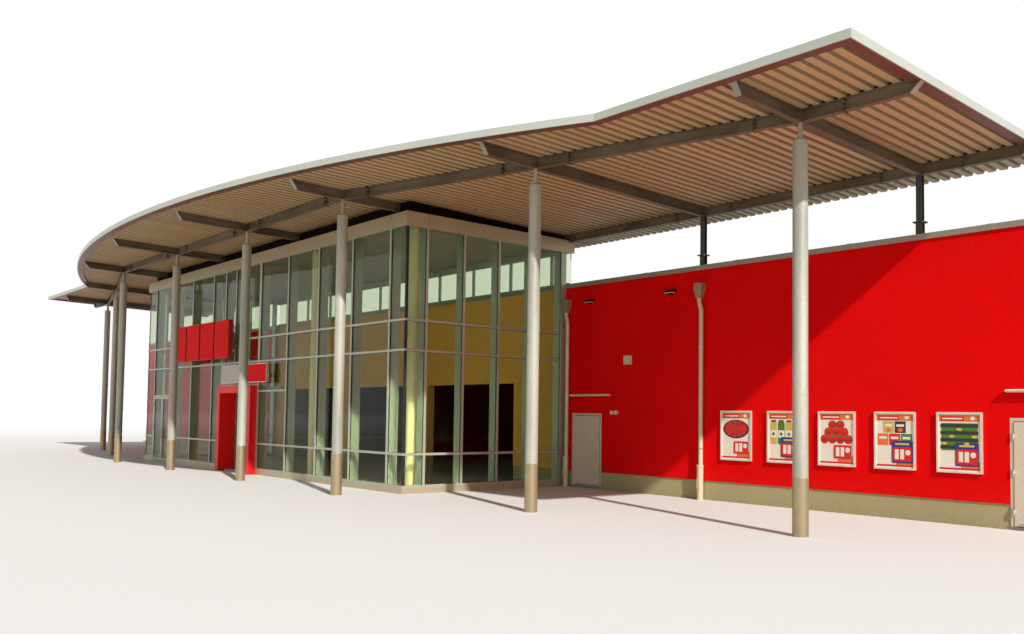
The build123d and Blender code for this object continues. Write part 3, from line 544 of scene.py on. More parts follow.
@dataclass(frozen=True)
class TippedSteel(ZincMetal):
    """Beam plates: dull at the splices, pale grey on the raked tips along the canopy's edge.

    A zone holds the left, right and rear end of a stretch of tips.
    """

    pale: Colour = (0.55, 0.55, 0.54)
    zones: tuple[Point, ...] = (
        (-12.0, 12.0, -7.8), (6.8, 12.0, -7.0), (-12.0, -5.7, -6.9), (9.7, 12.0, -6.6),
        (-12.0, -8.6, -6.6), (11.0, 12.0, 0.0), (-12.0, -9.9, 0.0))

    def material(self) -> Material:
        """Make the plates' material.

        Returns:
            The material.
        """
        r = Recipe(self.name)
        clouds = r.clouds(5.5, 5.0, 0.35, 0.68)
        grains = r.cells(self.crystals)
        at_tip = r.fold("MAXIMUM", [r.within((left, -9.0, 0.0), (right, rear, 9.0))
                                    for left, right, rear in self.zones])
        tone = r.mix(at_tip, r.mix(clouds, self.colour, self.bloom),
                     r.mix(clouds, self.pale, darker(self.pale, 0.86)))
        tone = r.stain(tone, grains, 0.2, darker(self.colour, 0.8))
        rough = r.span(clouds, 0.0, 1.0, self.roughness - 0.1, self.roughness + 0.12)
        return r.done(tone, rough, r.relief(grains, 0.00015), self.metal)


@dataclass(frozen=True)
class BrushedMetal(Finish):
    """Ground stainless steel or anodised aluminium, brushed one way."""

    along: Point = (1.0, 1.0, 0.02)
    roughness: float = 0.34
    metal: float = 0.9

    def material(self) -> Material:
        """Make the brushed metal's material.

        Returns:
            The material.
        """
        r = Recipe(self.name)
        lines = r.noise(420.0, 2.0, self.along)
        smears = r.clouds(8.0, 4.0, 0.35, 0.7)
        tone = r.mix(smears, self.colour, darker(self.colour, 0.82))
        tone = r.stain(tone, lines, 0.35, darker(self.colour, 0.6))
        rough = r.span(smears, 0.0, 1.0, self.roughness, self.roughness + 0.16)
        return r.done(tone, rough, r.relief(lines, 0.00008), self.metal)


@dataclass(frozen=True)
class RibbedSheet(Finish):
    """Coated ribbed sheet laid side by side, each sheet of a slightly different tone, with painted shade
    on the flanks of the grooves.
    """

    sheet: float = 0.476
    roughness: float = 0.46
    flank_shade: float = 0.6

    def material(self) -> Material:
        """Make the sheet's material.

        Returns:
            The material.
        """
        r = Recipe(self.name)
        number = r.maths("FLOOR", r.maths("DIVIDE", r.axis("X"), self.sheet))
        tone = r.add("TexWhiteNoise", {"W": number}, noise_dimensions="1D").outputs["Value"]
        stains = r.clouds(3.2, 5.0, 0.48, 0.72, (1.0, 0.22, 1.0))
        body = r.mix(tone, self.colour, darker(self.colour, 0.9))
        body = r.stain(body, stains, 0.22, darker(self.colour, 0.62))
        # Painted shade: faces whose normal points sideways, the groove flanks, are darkened as if in the
        # ribs' shadow.
        side = r.add("SeparateXYZ", {0: r.add("NewGeometry").outputs["True Normal"]}).outputs["X"]
        flank = r.span(r.maths("ABSOLUTE", side), 0.3, 0.6)
        body = r.stain(body, flank, self.flank_shade, darker(self.colour, 0.25))
        body = r.stain(body, r.seam("X", self.sheet, 0.004), 0.5, darker(self.colour, 0.35))
        normal = r.relief(r.noise(3.0, 2.0, (1.0, 0.3, 1.0)), 0.0012)
        rough = r.span(stains, 0.0, 1.0, self.roughness, self.roughness + 0.2)
        return r.done(body, rough, normal, metal=0.15)


@dataclass(frozen=True)
class WindowGlass(Finish):
    """Clear float glass with its green cast. Shadow rays pass, so the rooms behind it are lit."""

    bend: float = 1.16

    def material(self) -> Material:
        """Make the glass material.

        Returns:
            The material.
        """
        r = Recipe(self.name)
        r.feed(r.shader, {"Base Color": self.colour, "Roughness": 0.0, "IOR": self.bend,
                          "Transmission Weight": 1.0})
        clear = r.add("BsdfTransparent", {"Color": self.colour})
        pick = r.add("MixShader", {0: r.add("LightPath").outputs["Is Shadow Ray"],
                                   1: r.shader.outputs["BSDF"], 2: clear.outputs["BSDF"]})
        r.feed(r.out, {"Surface": pick.outputs[0]})
        return r.material


@dataclass(frozen=True)
class FloorTiles(Finish):
    """Square ceramic tiles with pale joints."""

    tile: float = 0.15
    joint: float = 0.0025

    def material(self) -> Material:
        """Make the tiled floor's material.

        Returns:
            The material.
        """
        r = Recipe(self.name)
        cell = r.add("VectorMath", {0: r.here, 1: (self.tile, self.tile, 1.0)}, operation="SNAP")
        shade = r.add("TexWhiteNoise", {"Vector": cell.outputs[0]}, noise_dimensions="2D")
        tone = r.mix(shade.outputs["Value"], self.colour, darker(self.colour, 0.88))
        tone = r.stain(tone, r.noise(90.0, 5.0), 0.2, darker(self.colour, 0.7))
        joints = r.fold("MAXIMUM", [r.seam(name, self.tile, self.joint) for name in "XY"])
        tone = r.mix(joints, tone, (0.18, 0.17, 0.15))
        normal = r.relief(r.maths("SUBTRACT", 1.0, joints), 0.0006)
        return r.done(tone, r.span(joints, 0.0, 1.0, 0.28, 0.8), normal)


@dataclass(frozen=True)
class RoofMembrane(Finish):
    """Welded roofing sheets with lapped seams, dust and dried puddles."""

    sheet: float = 0.75

    def material(self) -> Material:
        """Make the roofing's material.

        Returns:
            The material.
        """
        r = Recipe(self.name)
        tone = r.mix(r.clouds(12.0, 6.0, 0.35, 0.7), self.colour, darker(self.colour, 0.84))
        tone = r.stain(tone, r.clouds(0.55, 5.0, 0.5, 0.62), 0.3, (0.30, 0.27, 0.22))
        lap = r.seam("X", self.sheet, 0.02)
        tone = r.stain(tone, lap, 0.35, darker(self.colour, 0.6))
        return r.done(tone, 0.8, r.relief(lap, 0.002, r.relief(r.noise(260.0, 2.0), 0.0003)), gloss=0.3)


@dataclass(frozen=True)
class Print(Finish):
    """Ink on a poster or an enamelled plate, with a fine screen and slight fading."""

    roughness: float = 0.38
    coat: float = 0.1
    gloss: float = 0.2

    def material(self) -> Material:
        """Make the printed surface's material.

        Returns:
            The material.
        """
        r = Recipe(self.name)
        tone = r.mix(r.clouds(6.0, 4.0, 0.3, 0.75), self.colour,
                     tuple(0.92 * part + 0.02 for part in self.colour))
        tone = r.stain(tone, r.cells(650.0), 0.1, darker(self.colour, 0.75))
        normal = r.relief(r.noise(40.0, 2.0), 0.0002)
        return r.done(tone, self.roughness, normal, coat=self.coat, gloss=self.gloss)


@dataclass(frozen=True)
class Rubber(Finish):
    """Black sealing rubber, dusty on its ridges."""

    def material(self) -> Material:
        """Make the rubber's material.

        Returns:
            The material.
        """
        r = Recipe(self.name)
        dust = r.clouds(150.0, 4.0, 0.45, 0.75)
        tone = r.stain(self.colour, dust, 0.25, (0.09, 0.085, 0.08))
        return r.done(tone, r.span(dust, 0.0, 1.0, 0.55, 0.8), r.relief(dust, 0.0002), gloss=0.3)


@dataclass(frozen=True)
class OpalPlastic(Finish):
    """Moulded pale plastic of lamps and boxes, yellowed a little by the sun."""

    def material(self) -> Material:
        """Make the plastic's material.

        Returns:
            The material.
        """
        r = Recipe(self.name)
        yellowed = tuple(a * b for a, b in zip(self.colour, (0.95, 0.9, 0.78)))
        tone = r.mix(r.clouds(9.0, 4.0, 0.35, 0.75), self.colour, yellowed)
        return r.done(tone, 0.36, r.relief(r.noise(380.0, 2.0), 0.0001))


# The inside colour of these renders is plaster grey darkened as painted shade of the unlit hall.
RED_RENDER = MineralRender("red_render", (0.88, 0.002, 0.003), dirt_share=0.07,
                           inside=(0.24, 0.22, 0.19))
PLINTH_RENDER = MineralRender("plinth_render", (0.48, 0.425, 0.24), streaks=(0.16, 0.24),
                              splashes=(0.14, 0.0), dirt_share=0.35, grain=0.0012)
OCHRE_RENDER = MineralRender("ochre_render", (0.92, 0.50, 0.12), dirt_share=0.0, grain=0.0004,
                             inside=(0.24, 0.22, 0.19))
COLUMN_RENDER = MineralRender("column_render", (0.92, 0.80, 0.50), dirt_share=0.0, grain=0.0004)
CEILING = MineralRender("ceiling", (0.55, 0.54, 0.50), dirt_share=0.0, grain=0.0003, patch=0.0006)
PARAPET_METAL = PaintedMetal("parapet_metal", (0.34, 0.31, 0.27), 0.4, 0.4)
FRAME_METAL = PaintedMetal("frame_metal", (0.47, 0.51, 0.42), 0.38, 0.35)
BAND_METAL = PaintedMetal("band_metal", (0.53, 0.46, 0.31), 0.36, 0.45)
# Near black: black housings on the lamps; on the roof upstand partly black metal and partly painted
# shade of the recess under the deck.
BLACK_METAL_AND_SHADE = PaintedMetal("black_metal", (0.007, 0.007, 0.007), 0.8, dust=0.02, gloss=0.04)
COLUMN_STEEL = ZincMetal("column_steel", (0.32, 0.33, 0.285), (0.56, 0.56, 0.475), metal=0.25)
BEAM_STEEL = ZincMetal("beam_steel", (0.115, 0.095, 0.067), (0.23, 0.193, 0.142), metal=0.25,
                       runs=(0.3, 0.3, 1.0))
PLATE_STEEL = TippedSteel("plate_steel", (0.085, 0.07, 0.05), (0.14, 0.12, 0.09), metal=0.25,
                          pale=(0.40, 0.385, 0.345))
POST_STEEL = ZincMetal("post_steel", (0.055, 0.055, 0.058), (0.10, 0.10, 0.10), metal=0.3)
SLEEVE_STEEL = BrushedMetal("sleeve_steel", (0.45, 0.355, 0.22), roughness=0.4, metal=0.7)
SMALL_STEEL = BrushedMetal("small_steel", (0.55, 0.55, 0.54))
PLAIN_ALUMINIUM = BrushedMetal("plain_aluminium", (0.86, 0.82, 0.72), roughness=0.42, metal=0.6)
CANOPY_SHEET = RibbedSheet("canopy_sheet", (0.62, 0.475, 0.295))
FASCIA_METAL = PaintedMetal("fascia_metal", (0.48, 0.52, 0.47), 0.34, 0.25)
STRIP_METAL = PaintedMetal("strip_metal", (0.155, 0.06, 0.05), 0.4)
SHOP_GLASS = WindowGlass("shop_glass", (0.73, 0.79, 0.66))
PORTAL_RED = PaintedMetal("portal_red", (0.95, 0.006, 0.008), 0.4, coat=0.1, gloss=0.25)
SIGN_RED = Print("sign_red", (0.94, 0.004, 0.006), roughness=0.6, coat=0.0, gloss=0.06)
SIGN_EDGE = PaintedMetal("sign_edge", (0.36, 0.006, 0.008), 0.35)
SIGN_PALE = Print("sign_pale", (0.56, 0.56, 0.55))
DOOR_PAINT = PaintedMetal("door_paint", (0.74, 0.65, 0.52), 0.45, dust=0.25)
DOOR_EDGE = PaintedMetal("door_edge", (0.66, 0.61, 0.48), 0.4)
PIPE_METAL = PaintedMetal("pipe_metal", (0.68, 0.585, 0.42), 0.45, 0.15)
HOPPER_METAL = PaintedMetal("hopper_metal", (0.34, 0.25, 0.165), 0.5, 0.15)
LAMP_PLASTIC = OpalPlastic("lamp_plastic", (0.78, 0.73, 0.60))
BOX_PLASTIC = OpalPlastic("box_plastic", (0.82, 0.78, 0.66))
SEAL_RUBBER = Rubber("seal_rubber", (0.018, 0.018, 0.018))
FOYER_TILES = FloorTiles("foyer_tiles", (0.44, 0.41, 0.36))
HALL_TILES = FloorTiles("hall_tiles", (0.38, 0.36, 0.33), tile=0.3)
ROOFING = RoofMembrane("roofing", (0.40, 0.41, 0.42))

NODE_FINISH = {
    RED_RENDER: "hall_wall_front hall_wall_rear hall_wall_sides",
    PLINTH_RENDER: "plinth",
    OCHRE_RENDER: "foyer_back_wall",
    COLUMN_RENDER: "inner_columns",
    CEILING: "foyer_roof",
    ROOFING: "hall_roof",
    PARAPET_METAL: "parapet_caps",
    FRAME_METAL: "glazing_frame_front glazing_frame_ends clerestory_frame end_panels "
                 "side_left_frame side_right_frame slide_left_frame slide_right_frame door_header",
    BAND_METAL: "band_panels foyer_kerb",
    # The upstand's near black is partly painted shade of the recess under the deck.
    BLACK_METAL_AND_SHADE: "roof_upstand",
    COLUMN_STEEL: "columns column_pins",
    SLEEVE_STEEL: "column_sleeves",
    BEAM_STEEL: "cross_beams front_beams rear_beam",
    PLATE_STEEL: "splice_plates",
    POST_STEEL: "roof_posts post_flanges",
    CANOPY_SHEET: "canopy_deck",
    FASCIA_METAL: "canopy_fascia",
    STRIP_METAL: "edge_strip",
    SHOP_GLASS: "glass_front glass_ends clerestory_glass side_left_glass side_right_glass "
                "slide_left_glass slide_right_glass",
    PORTAL_RED: "portal",
    SIGN_EDGE: "sign_blocks",
    SIGN_PALE: "sign_panel",
    DOOR_PAINT: "service_door_1 service_door_2",
    DOOR_EDGE: "service_door_frames",
    PLAIN_ALUMINIUM: "poster_frames",
    SMALL_STEEL: "hinge_pins sign_arms",
    PIPE_METAL: "downpipes",
    HOPPER_METAL: "hoppers",
    LAMP_PLASTIC: "line_lights",
    BOX_PLASTIC: "wall_fittings",
    FOYER_TILES: "foyer_floor",
    HALL_TILES: "hall_floor",
}


@cache
def material_of(look: Finish) -> Material:
    """Give a finish's material, which is made when it is first asked for."""
    return look.material()


def dress_nodes() -> None:
    """Put a finish on every CAD node."""
    bare = set(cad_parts)
    for look, nodes in NODE_FINISH.items():
        for node in nodes.split():
            bare.remove(node)
            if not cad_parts[node].material_slots:
                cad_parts[node].data.materials.append(None)
            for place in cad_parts[node].material_slots:
                place.material = material_of(look)
    LOG.info("nodes dressed; without a finish: %s", sorted(bare))


def finish(things: list[Thing], name: str, look: Finish,
           body: str = "building") -> Thing:
    """Join shapes into one named piece, and give it its finish and its body.

    Args:
        things: the shapes.
        name: the piece's name.
        look: its finish.
        body: the body that it rides on.

    Returns:
        The finished piece.
    """
    for thing in things:
        thing.data.materials.clear()
    take(*things)
    if len(things) > 1:
        bpy.ops.object.join()
    piece = fix(bpy.context.object)
    with picked(piece, lambda face: True):
        bpy.ops.mesh.normals_make_consistent(inside=False)
    piece.name = name
    piece.data.name = name
    piece.data.materials.append(material_of(look))
    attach(piece, body)
    LOG.info("%s: %d faces", name, len(piece.data.polygons))
    return piece


class Assembly:
    """A group of pieces. Its build_ methods make them, in the order in which they are written."""

    def build(self) -> None:
        """Run every build_ method."""
        LOG.info("building %s", type(self).__name__)
        for name, step in vars(type(self)).items():
            if name.startswith("build_"):
                step(self)


@dataclass
class CanopyHardware(Assembly):
    """Bolts of the splices and post flanges, seams on top of the deck, rings on the sleeves."""

    beam_bottom: float = 3.545
    beam_top: float = 3.658
    beam_half: float = 0.031
    deck_top: float = 3.697
    heel: float = -3.694
    fall: float = 1.55
    splice_at: float = 0.424
    splice_thick: float = 0.018
    bolt_across: float = 0.022
    bolt_heights: tuple[float, float] = (0.035, 0.078)
    head_radius: float = 0.0075
    head_high: float = 0.0055
    head_foot: float = 0.001
    head_soft: float = 0.0006
    washer_radius: float = 0.0095
    washer_high: float = 0.0012
    seam_pitch: float = 0.238
    seam_wide: float = 0.012
    seam_high: float = 0.004
    seam_set: float = 0.03
    seam_rear: float = 0.004
    flange_bolt: float = 0.042
    rear_axis: float = -3.725
    rear_edge: float = -2.985
    end_reach: float = 1.081
    middle: float = 0.880
    kink: float = 7.900
    wing: float = -7.056
    crown: float = -8.660
    groove_pitch: float = 0.119
    groove_count: int = 180
    groove_middle: float = 0.536
    groove_wide: float = 0.053
    groove_high: float = 0.0255
    filler_deep: float = 0.022
    filler_lift: float = 0.0005
    filler_in: float = 0.003
    ring_sunk: float = 0.002
    ring_high: float = 0.004
    ring_proud: float = 0.001
    ring_soft: float = 0.0015

    def tip(self) -> Matrix:
        """The turn from a level canopy to its fall towards the rear."""
        heel = Matrix.Translation((0, self.heel, self.beam_bottom))
        return heel @ Matrix.Rotation(math.radians(-self.fall), 4, "X") @ heel.inverted()

    def bolt(self) -> Thing:
        """Model one hexagon head on its washer, standing on the XY plane.

        Returns:
            The bolt head.
        """
        head = rod((0, 0, self.head_foot), (0, 0, self.head_high), self.head_radius, 6)
        ease(head, self.head_soft, 1, 50)
        take(head, rod((0, 0, 0), (0, 0, self.washer_high), self.washer_radius, 12))
        bpy.ops.object.join()
        return bpy.context.object

    def beam_line(self) -> list[Vector]:
        """Find the plan points that the front beams run through.

        Returns:
            The points from the left end to the right.
        """
        centres = [((low + high) / 2).to_2d() for low, high in solids("columns")]
        reach = Vector((self.end_reach, 0))
        return [centres[0] - reach, *centres, centres[-1] + reach]

    def joints(self) -> list[Matrix]:
        """Find the middle of each splice, turned the way its beam runs.

        Returns:
            The place of each splice on the level canopy.
        """
        line = self.beam_line()
        found = []
        for before, here, after in zip(line, line[1:], line[2:]):
            ways = [(other - here).normalized() for other in (before, after)]
            found += [(here + way * self.splice_at, math.atan2(way.y, way.x)) for way in ways]
            found += [(Vector((here.x + side * self.splice_at, self.rear_axis)), 0.0)
                      for side in (-1, 1)]
        return [Matrix.Translation((*spot, self.beam_bottom)) @ Matrix.Rotation(angle, 4, "Z")
                for spot, angle in found]

    def build_bolts(self) -> None:
        """Set four bolts through every splice, with a head on either face."""
        places = [self.tip() @ spot
                  @ Matrix.Translation((side * self.splice_thick / 2, across, high))
                  @ Matrix.Rotation(math.radians(90 * side), 4, "Y")
                  for spot, side, across, high in product(
                      self.joints(), (-1, 1), (-self.bolt_across, self.bolt_across),
                      self.bolt_heights)]
        finish(copies(self.bolt(), places), "splice_bolts", SMALL_STEEL)

    def build_flange_bolts(self) -> None:
        """Set four bolts through each post flange, heads above and nuts below."""
        places = []
        for low, high in solids("post_flanges"):
            middle = (low + high) / 2
            for dx, dy in product((-self.flange_bolt, self.flange_bolt), repeat=2):
                places += [Matrix.Translation((middle.x + dx, middle.y + dy, high.z)),
                           Matrix.Translation((middle.x + dx, middle.y + dy, low.z))
                           @ Matrix.Rotation(math.pi, 4, "X")]
        finish(copies(self.bolt(), places), "flange_bolts", SMALL_STEEL)

    def front_edge(self, x: float) -> float:
        """Where the level canopy's front edge lies.

        Args:
            x: a place along the front.

        Returns:
            The edge's Y.
        """
        away = abs(x - self.middle)
        if away >= self.kink:
            return self.wing
        rise = self.wing - self.crown
        radius = (self.kink ** 2 + rise ** 2) / (2 * rise)
        return self.crown + radius - math.sqrt(radius ** 2 - away ** 2)

    def build_deck_seams(self) -> None:
        """Lay the upper ribs of the sheet on the deck, each ending short of the fascia."""
        low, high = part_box("canopy_deck")
        half = self.seam_wide / 2
        ribs = []
        x = low.x + self.seam_pitch / 2
        while x < high.x - self.seam_wide:
            front = max(self.front_edge(x - self.seam_wide), self.front_edge(x + self.seam_wide))
            rib = block((x - half, front + self.seam_set, self.deck_top),
                        (x + half, self.rear_edge - self.seam_rear, self.deck_top + self.seam_high))
            taper(rib, Face.TOP, (0.6, 1.0, 1.0)).matrix_world = self.tip()
            ribs.append(fix(rib))
            x += self.seam_pitch
        finish(ribs, "deck_seams", CANOPY_SHEET)

    def build_rib_fillers(self) -> None:
        """Close the grooves of the sheet with black foam where they cross the long beams; the black is
        also painted shade in the groove ends there.
        """
        half = self.groove_wide / 2
        pattern = block((-half, 0, self.filler_lift), (half, self.filler_deep, self.groove_high))
        taper(pattern, Face.TOP, (0.62, 1.0, 1.0))
        line = self.beam_line()
        first = self.groove_middle - self.groove_pitch * (self.groove_count - 1) / 2
        places = []
        for x in (first + self.groove_pitch * i for i in range(self.groove_count)):
            rows = [self.rear_axis]
            rows += [a.y + (b.y - a.y) * (x - a.x) / (b.x - a.x) for a, b in zip(line, line[1:])
                     if a.x <= x < b.x]
            if line[0].x < x < line[-1].x:
                places += [self.tip() @ Matrix.Translation(
                    (x, y - self.beam_half + self.filler_in, self.beam_top)) for y in rows]
        # Painted shade: the black fillers stand in for the shadow inside the grooves over the beams.
        finish(copies(pattern, places), "rib_fillers", SEAL_RUBBER)

    def build_sleeve_rings(self) -> None:
        """Close the gap between each sleeve and its tube with a sealing bead."""
        rings = []
        for low, high in solids("column_sleeves"):
            x, y, _ = (low + high) / 2
            ring = rod((x, y, high.z - self.ring_sunk), (x, y, high.z + self.ring_high),
                       (high.x - low.x) / 2 + self.ring_proud, 48)
            rings.append(ease(ring, self.ring_soft, 2, 50))
        finish(rings, "sleeve_rings", SLEEVE_STEEL)


@dataclass
class GlazingTrim(Assembly):
    """Rubber beside every bar of the foyer's glazing, and the covers of its glass corners."""

    bar: float = 0.034
    rail: float = 0.015
    lip: float = 0.003
    seal_deep: float = 0.003
    seal_soft: float = 0.0008
    door_play: float = 0.02
    cap_deep: float = 0.014
    first_bar: float = 4.663
    pitch: float = 0.946
    count: int = 10
    side_first: float = -6.257
    side_pitch: float = 0.599
    side_count: int = 5
    levels: tuple[float, ...] = (0.495, 1.810, 2.195)
    foot: float = 0.075
    top: float = 3.385
    lintel: float = 1.333
    joint_wide: float = 0.028
    joint_proud: float = 0.0015
    joint_soft: float = 0.0005

    def seal(self, low: Point, high: Point) -> Thing:
        """One strip of sealing rubber between two corners, with eased edges."""
        return ease(block(low, high), self.seal_soft, 1)

    def build_seals(self) -> None:
        """Lay the rubber along the bars of the front."""
        low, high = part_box("glazing_frame_front")
        portal_low, portal_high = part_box("portal")
        door_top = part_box("side_left_frame")[1].z + self.door_play
        rear = low.y + self.cap_deep
        front = rear - self.seal_deep
        half = self.bar / 2 + self.lip
        rise = self.rail + self.lip
        bars = [self.first_bar - self.pitch * i for i in range(self.count)]
        strips = []
        for x in bars:
            foot = portal_high.z if portal_low.x < x < portal_high.x else self.foot
            strips.append(self.seal((x - half, front, foot), (x + half, rear, self.top)))
        for z in self.levels:
            spans = [(low.x, high.x)]
            if z < door_top:
                spans = [(low.x, bars[-1]), (bars[-2], portal_low.x), (portal_high.x, high.x)]
            strips += [self.seal((a, front, z - rise), (b, rear, z + rise)) for a, b in spans]
        strips.append(self.seal((portal_high.x, front, self.lintel - rise),
                                (bars[3], rear, self.lintel + rise)))
        finish(strips, "front_seals", SEAL_RUBBER)

    def build_end_seals(self) -> None:
        """Lay the rubber along the bars of the two ends."""
        low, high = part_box("glazing_frame_ends")
        half = self.bar / 2 + self.lip
        rise = self.rail + self.lip
        strips = []
        for face, sign in ((high.x, -1), (low.x, 1)):
            x0, x1 = sorted((face + sign * (self.cap_deep - self.seal_deep),
                             face + sign * self.cap_deep))
            for y in (self.side_first + self.side_pitch * i for i in range(self.side_count)):
                strips.append(self.seal((x0, y - half, self.foot), (x1, y + half, self.top)))
            strips += [self.seal((x0, low.y, z - rise), (x1, high.y, z + rise))
                       for z in self.levels]
        finish(strips, "end_seals", SEAL_RUBBER)

    def build_corners(self) -> None:
        """Close the glass corners with an angle of black sealant over both panes' edges."""
        low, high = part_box("glazing_frame_ends")
        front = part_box("glazing_frame_front")[0].y + self.cap_deep
        strips = []
        for face, sign, inward in ((high.x, 1, looks(Face.LEFT)), (low.x, -1, looks(Face.RIGHT))):
            glass = face - sign * self.cap_deep
            x0, x1 = sorted((glass, glass + sign * self.joint_proud))
            strip = block((x0, front - self.joint_proud, self.foot),
                          (x1, front + self.joint_wide, self.top))
            with picked(strip, lambda polygon: True):
                bpy.ops.mesh.bisect(plane_co=(0, front, 0), plane_no=(0, 1, 0))
            with picked(strip, lambda polygon: inward(polygon) and polygon.center.y < front):
                bpy.ops.mesh.extrude_region_move(
                    TRANSFORM_OT_translate={"value": (-sign * self.joint_wide, 0, 0)})
            strips.append(ease(strip, self.joint_soft, 1))
        finish(strips, "corner_joints", SEAL_RUBBER)


class Ink(Enum):
    """Colours of the printed sheets."""

    PAPER = ("poster_paper", (0.92, 0.88, 0.78))
    RED = ("poster_red", (0.74, 0.012, 0.012))
    ORANGE = ("poster_orange", (0.84, 0.20, 0.03))
    BLUE = ("poster_blue", (0.03, 0.04, 0.26))
    GREEN = ("poster_green", (0.08, 0.22, 0.03))
    BROWN = ("poster_brown", (0.16, 0.045, 0.02))
    YELLOW = ("poster_yellow", (0.66, 0.52, 0.12))
    DARK = ("poster_dark", (0.03, 0.035, 0.03))


PAPER, RED, ORANGE, BLUE, GREEN, BROWN, YELLOW, DARK = Ink


@dataclass(frozen=True)
class Panel:
    """A panel on a sheet. Places and sizes are shares of the sheet's width and height."""

    ink: Ink
    x: float
    z: float
    wide: float
    high: float
    level: int = 1
    soft: float = 0.004


@dataclass(frozen=True)
class Disc(Panel):
    """A round or oval spot on a sheet."""


COMMON_MARKS = [Panel(ORANGE, 0.5, 0.925, 0.97, 0.115), Panel(RED, 0.34, 0.92, 0.56, 0.075, 2),
                Panel(PAPER, 0.34, 0.92, 0.48, 0.024, 3, 0.001),
                Disc(PAPER, 0.82, 0.925, 0.11, 0.065, 2), Panel(RED, 0.5, 0.04, 0.97, 0.035),
                Panel(ORANGE, 0.76, 0.115, 0.45, 0.11)]


def price_marks(x: float, capped: bool) -> list[Panel]:
    """A red patch with plain bars where a price would stand.

    Args:
        x: middle of the patch.
        capped: whether a blue strip sits on it.

    Returns:
        The marks.
    """
    marks = [Panel(RED, x, 0.25, 0.5, 0.26, 4, 0.014), Panel(PAPER, x - 0.14, 0.25, 0.1, 0.18, 5),
             Panel(PAPER, x, 0.25, 0.1, 0.18, 5), Disc(PAPER, x + 0.15, 0.285, 0.13, 0.1, 5)]
    if capped:
        marks += [Panel(BLUE, x, 0.295, 0.55, 0.41, 3, 0.016),
                  Panel(YELLOW, x, 0.44, 0.36, 0.035, 4, 0.001)]
    return marks


def bowl_sheet() -> list[Panel]:
    """A shallow bowl of round berries.

    Returns:
        Its marks.
    """
    marks = [Disc(DARK, 0.5, 0.64, 0.92, 0.4), Disc(BROWN, 0.5, 0.645, 0.84, 0.35, 2)]
    for ring, number in ((0.33, 11), (0.19, 7), (0.06, 2)):
        for turn in (2 * math.pi * i / number for i in range(number)):
            marks.append(Disc(RED, 0.5 + ring * math.cos(turn), 0.645 + 0.4 * ring * math.sin(turn),
                              0.13, 0.085, 3))
    return marks + price_marks(0.68, False)


def jar_sheet() -> list[Panel]:
    """Three jars in a row.

    Returns:
        Its marks.
    """
    marks = []
    for x, ink in ((0.17, YELLOW), (0.42, GREEN), (0.67, YELLOW)):
        marks += [Panel(ink, x, 0.58, 0.22, 0.46, 1, 0.016), Panel(BROWN, x, 0.825, 0.16, 0.04, 2),
                  Panel(PAPER, x, 0.56, 0.19, 0.15, 2), Disc(GREEN, x, 0.56, 0.09, 0.07, 3)]
    return marks + price_marks(0.68, True)


def fruit_sheet() -> list[Panel]:
    """A heap of round red fruit with leaves.

    Returns:
        Its marks.
    """
    marks = []
    for row, number in enumerate((4, 3, 2)):
        for x in (0.5 + (i - (number - 1) / 2) * 0.23 for i in range(number)):
            marks += [Disc(RED, x, 0.49 + row * 0.14, 0.25, 0.18, 1 + row % 2),
                      Disc(BROWN, x, 0.47 + row * 0.14, 0.16, 0.03, 3),
                      Disc(GREEN, x, 0.545 + row * 0.14, 0.1, 0.03, 3)]
    return marks + price_marks(0.68, False)


def carton_sheet() -> list[Panel]:
    """A stack of bright cartons.

    Returns:
        Its marks.
    """
    marks = []
    for i, ink in enumerate((ORANGE, RED, GREEN, YELLOW, DARK)):
        x, z = 0.19 + 0.31 * (i % 3) + (0.15 if i > 2 else 0), 0.52 + 0.23 * (i // 3)
        marks += [Panel(ink, x, z, 0.29, 0.215), Panel(PAPER, x, z + 0.03, 0.2, 0.045, 2),
                  Disc(ORANGE, x, z - 0.055, 0.14, 0.07, 2)]
    return marks + price_marks(0.7, True)


def crate_sheet() -> list[Panel]:
    """A slatted crate of leaves.

    Returns:
        Its marks.
    """
    slats = [Panel(DARK, 0.5, 0.42 + 0.125 * i, 0.9, 0.06, 2) for i in range(4)]
    fruit = [Disc(YELLOW, 0.14 + 0.18 * i, 0.48 + 0.125 * (i % 3), 0.14, 0.05, 3) for i in range(5)]
    return [Panel(GREEN, 0.5, 0.6, 0.86, 0.48), *slats, *fruit, *price_marks(0.68, True)]


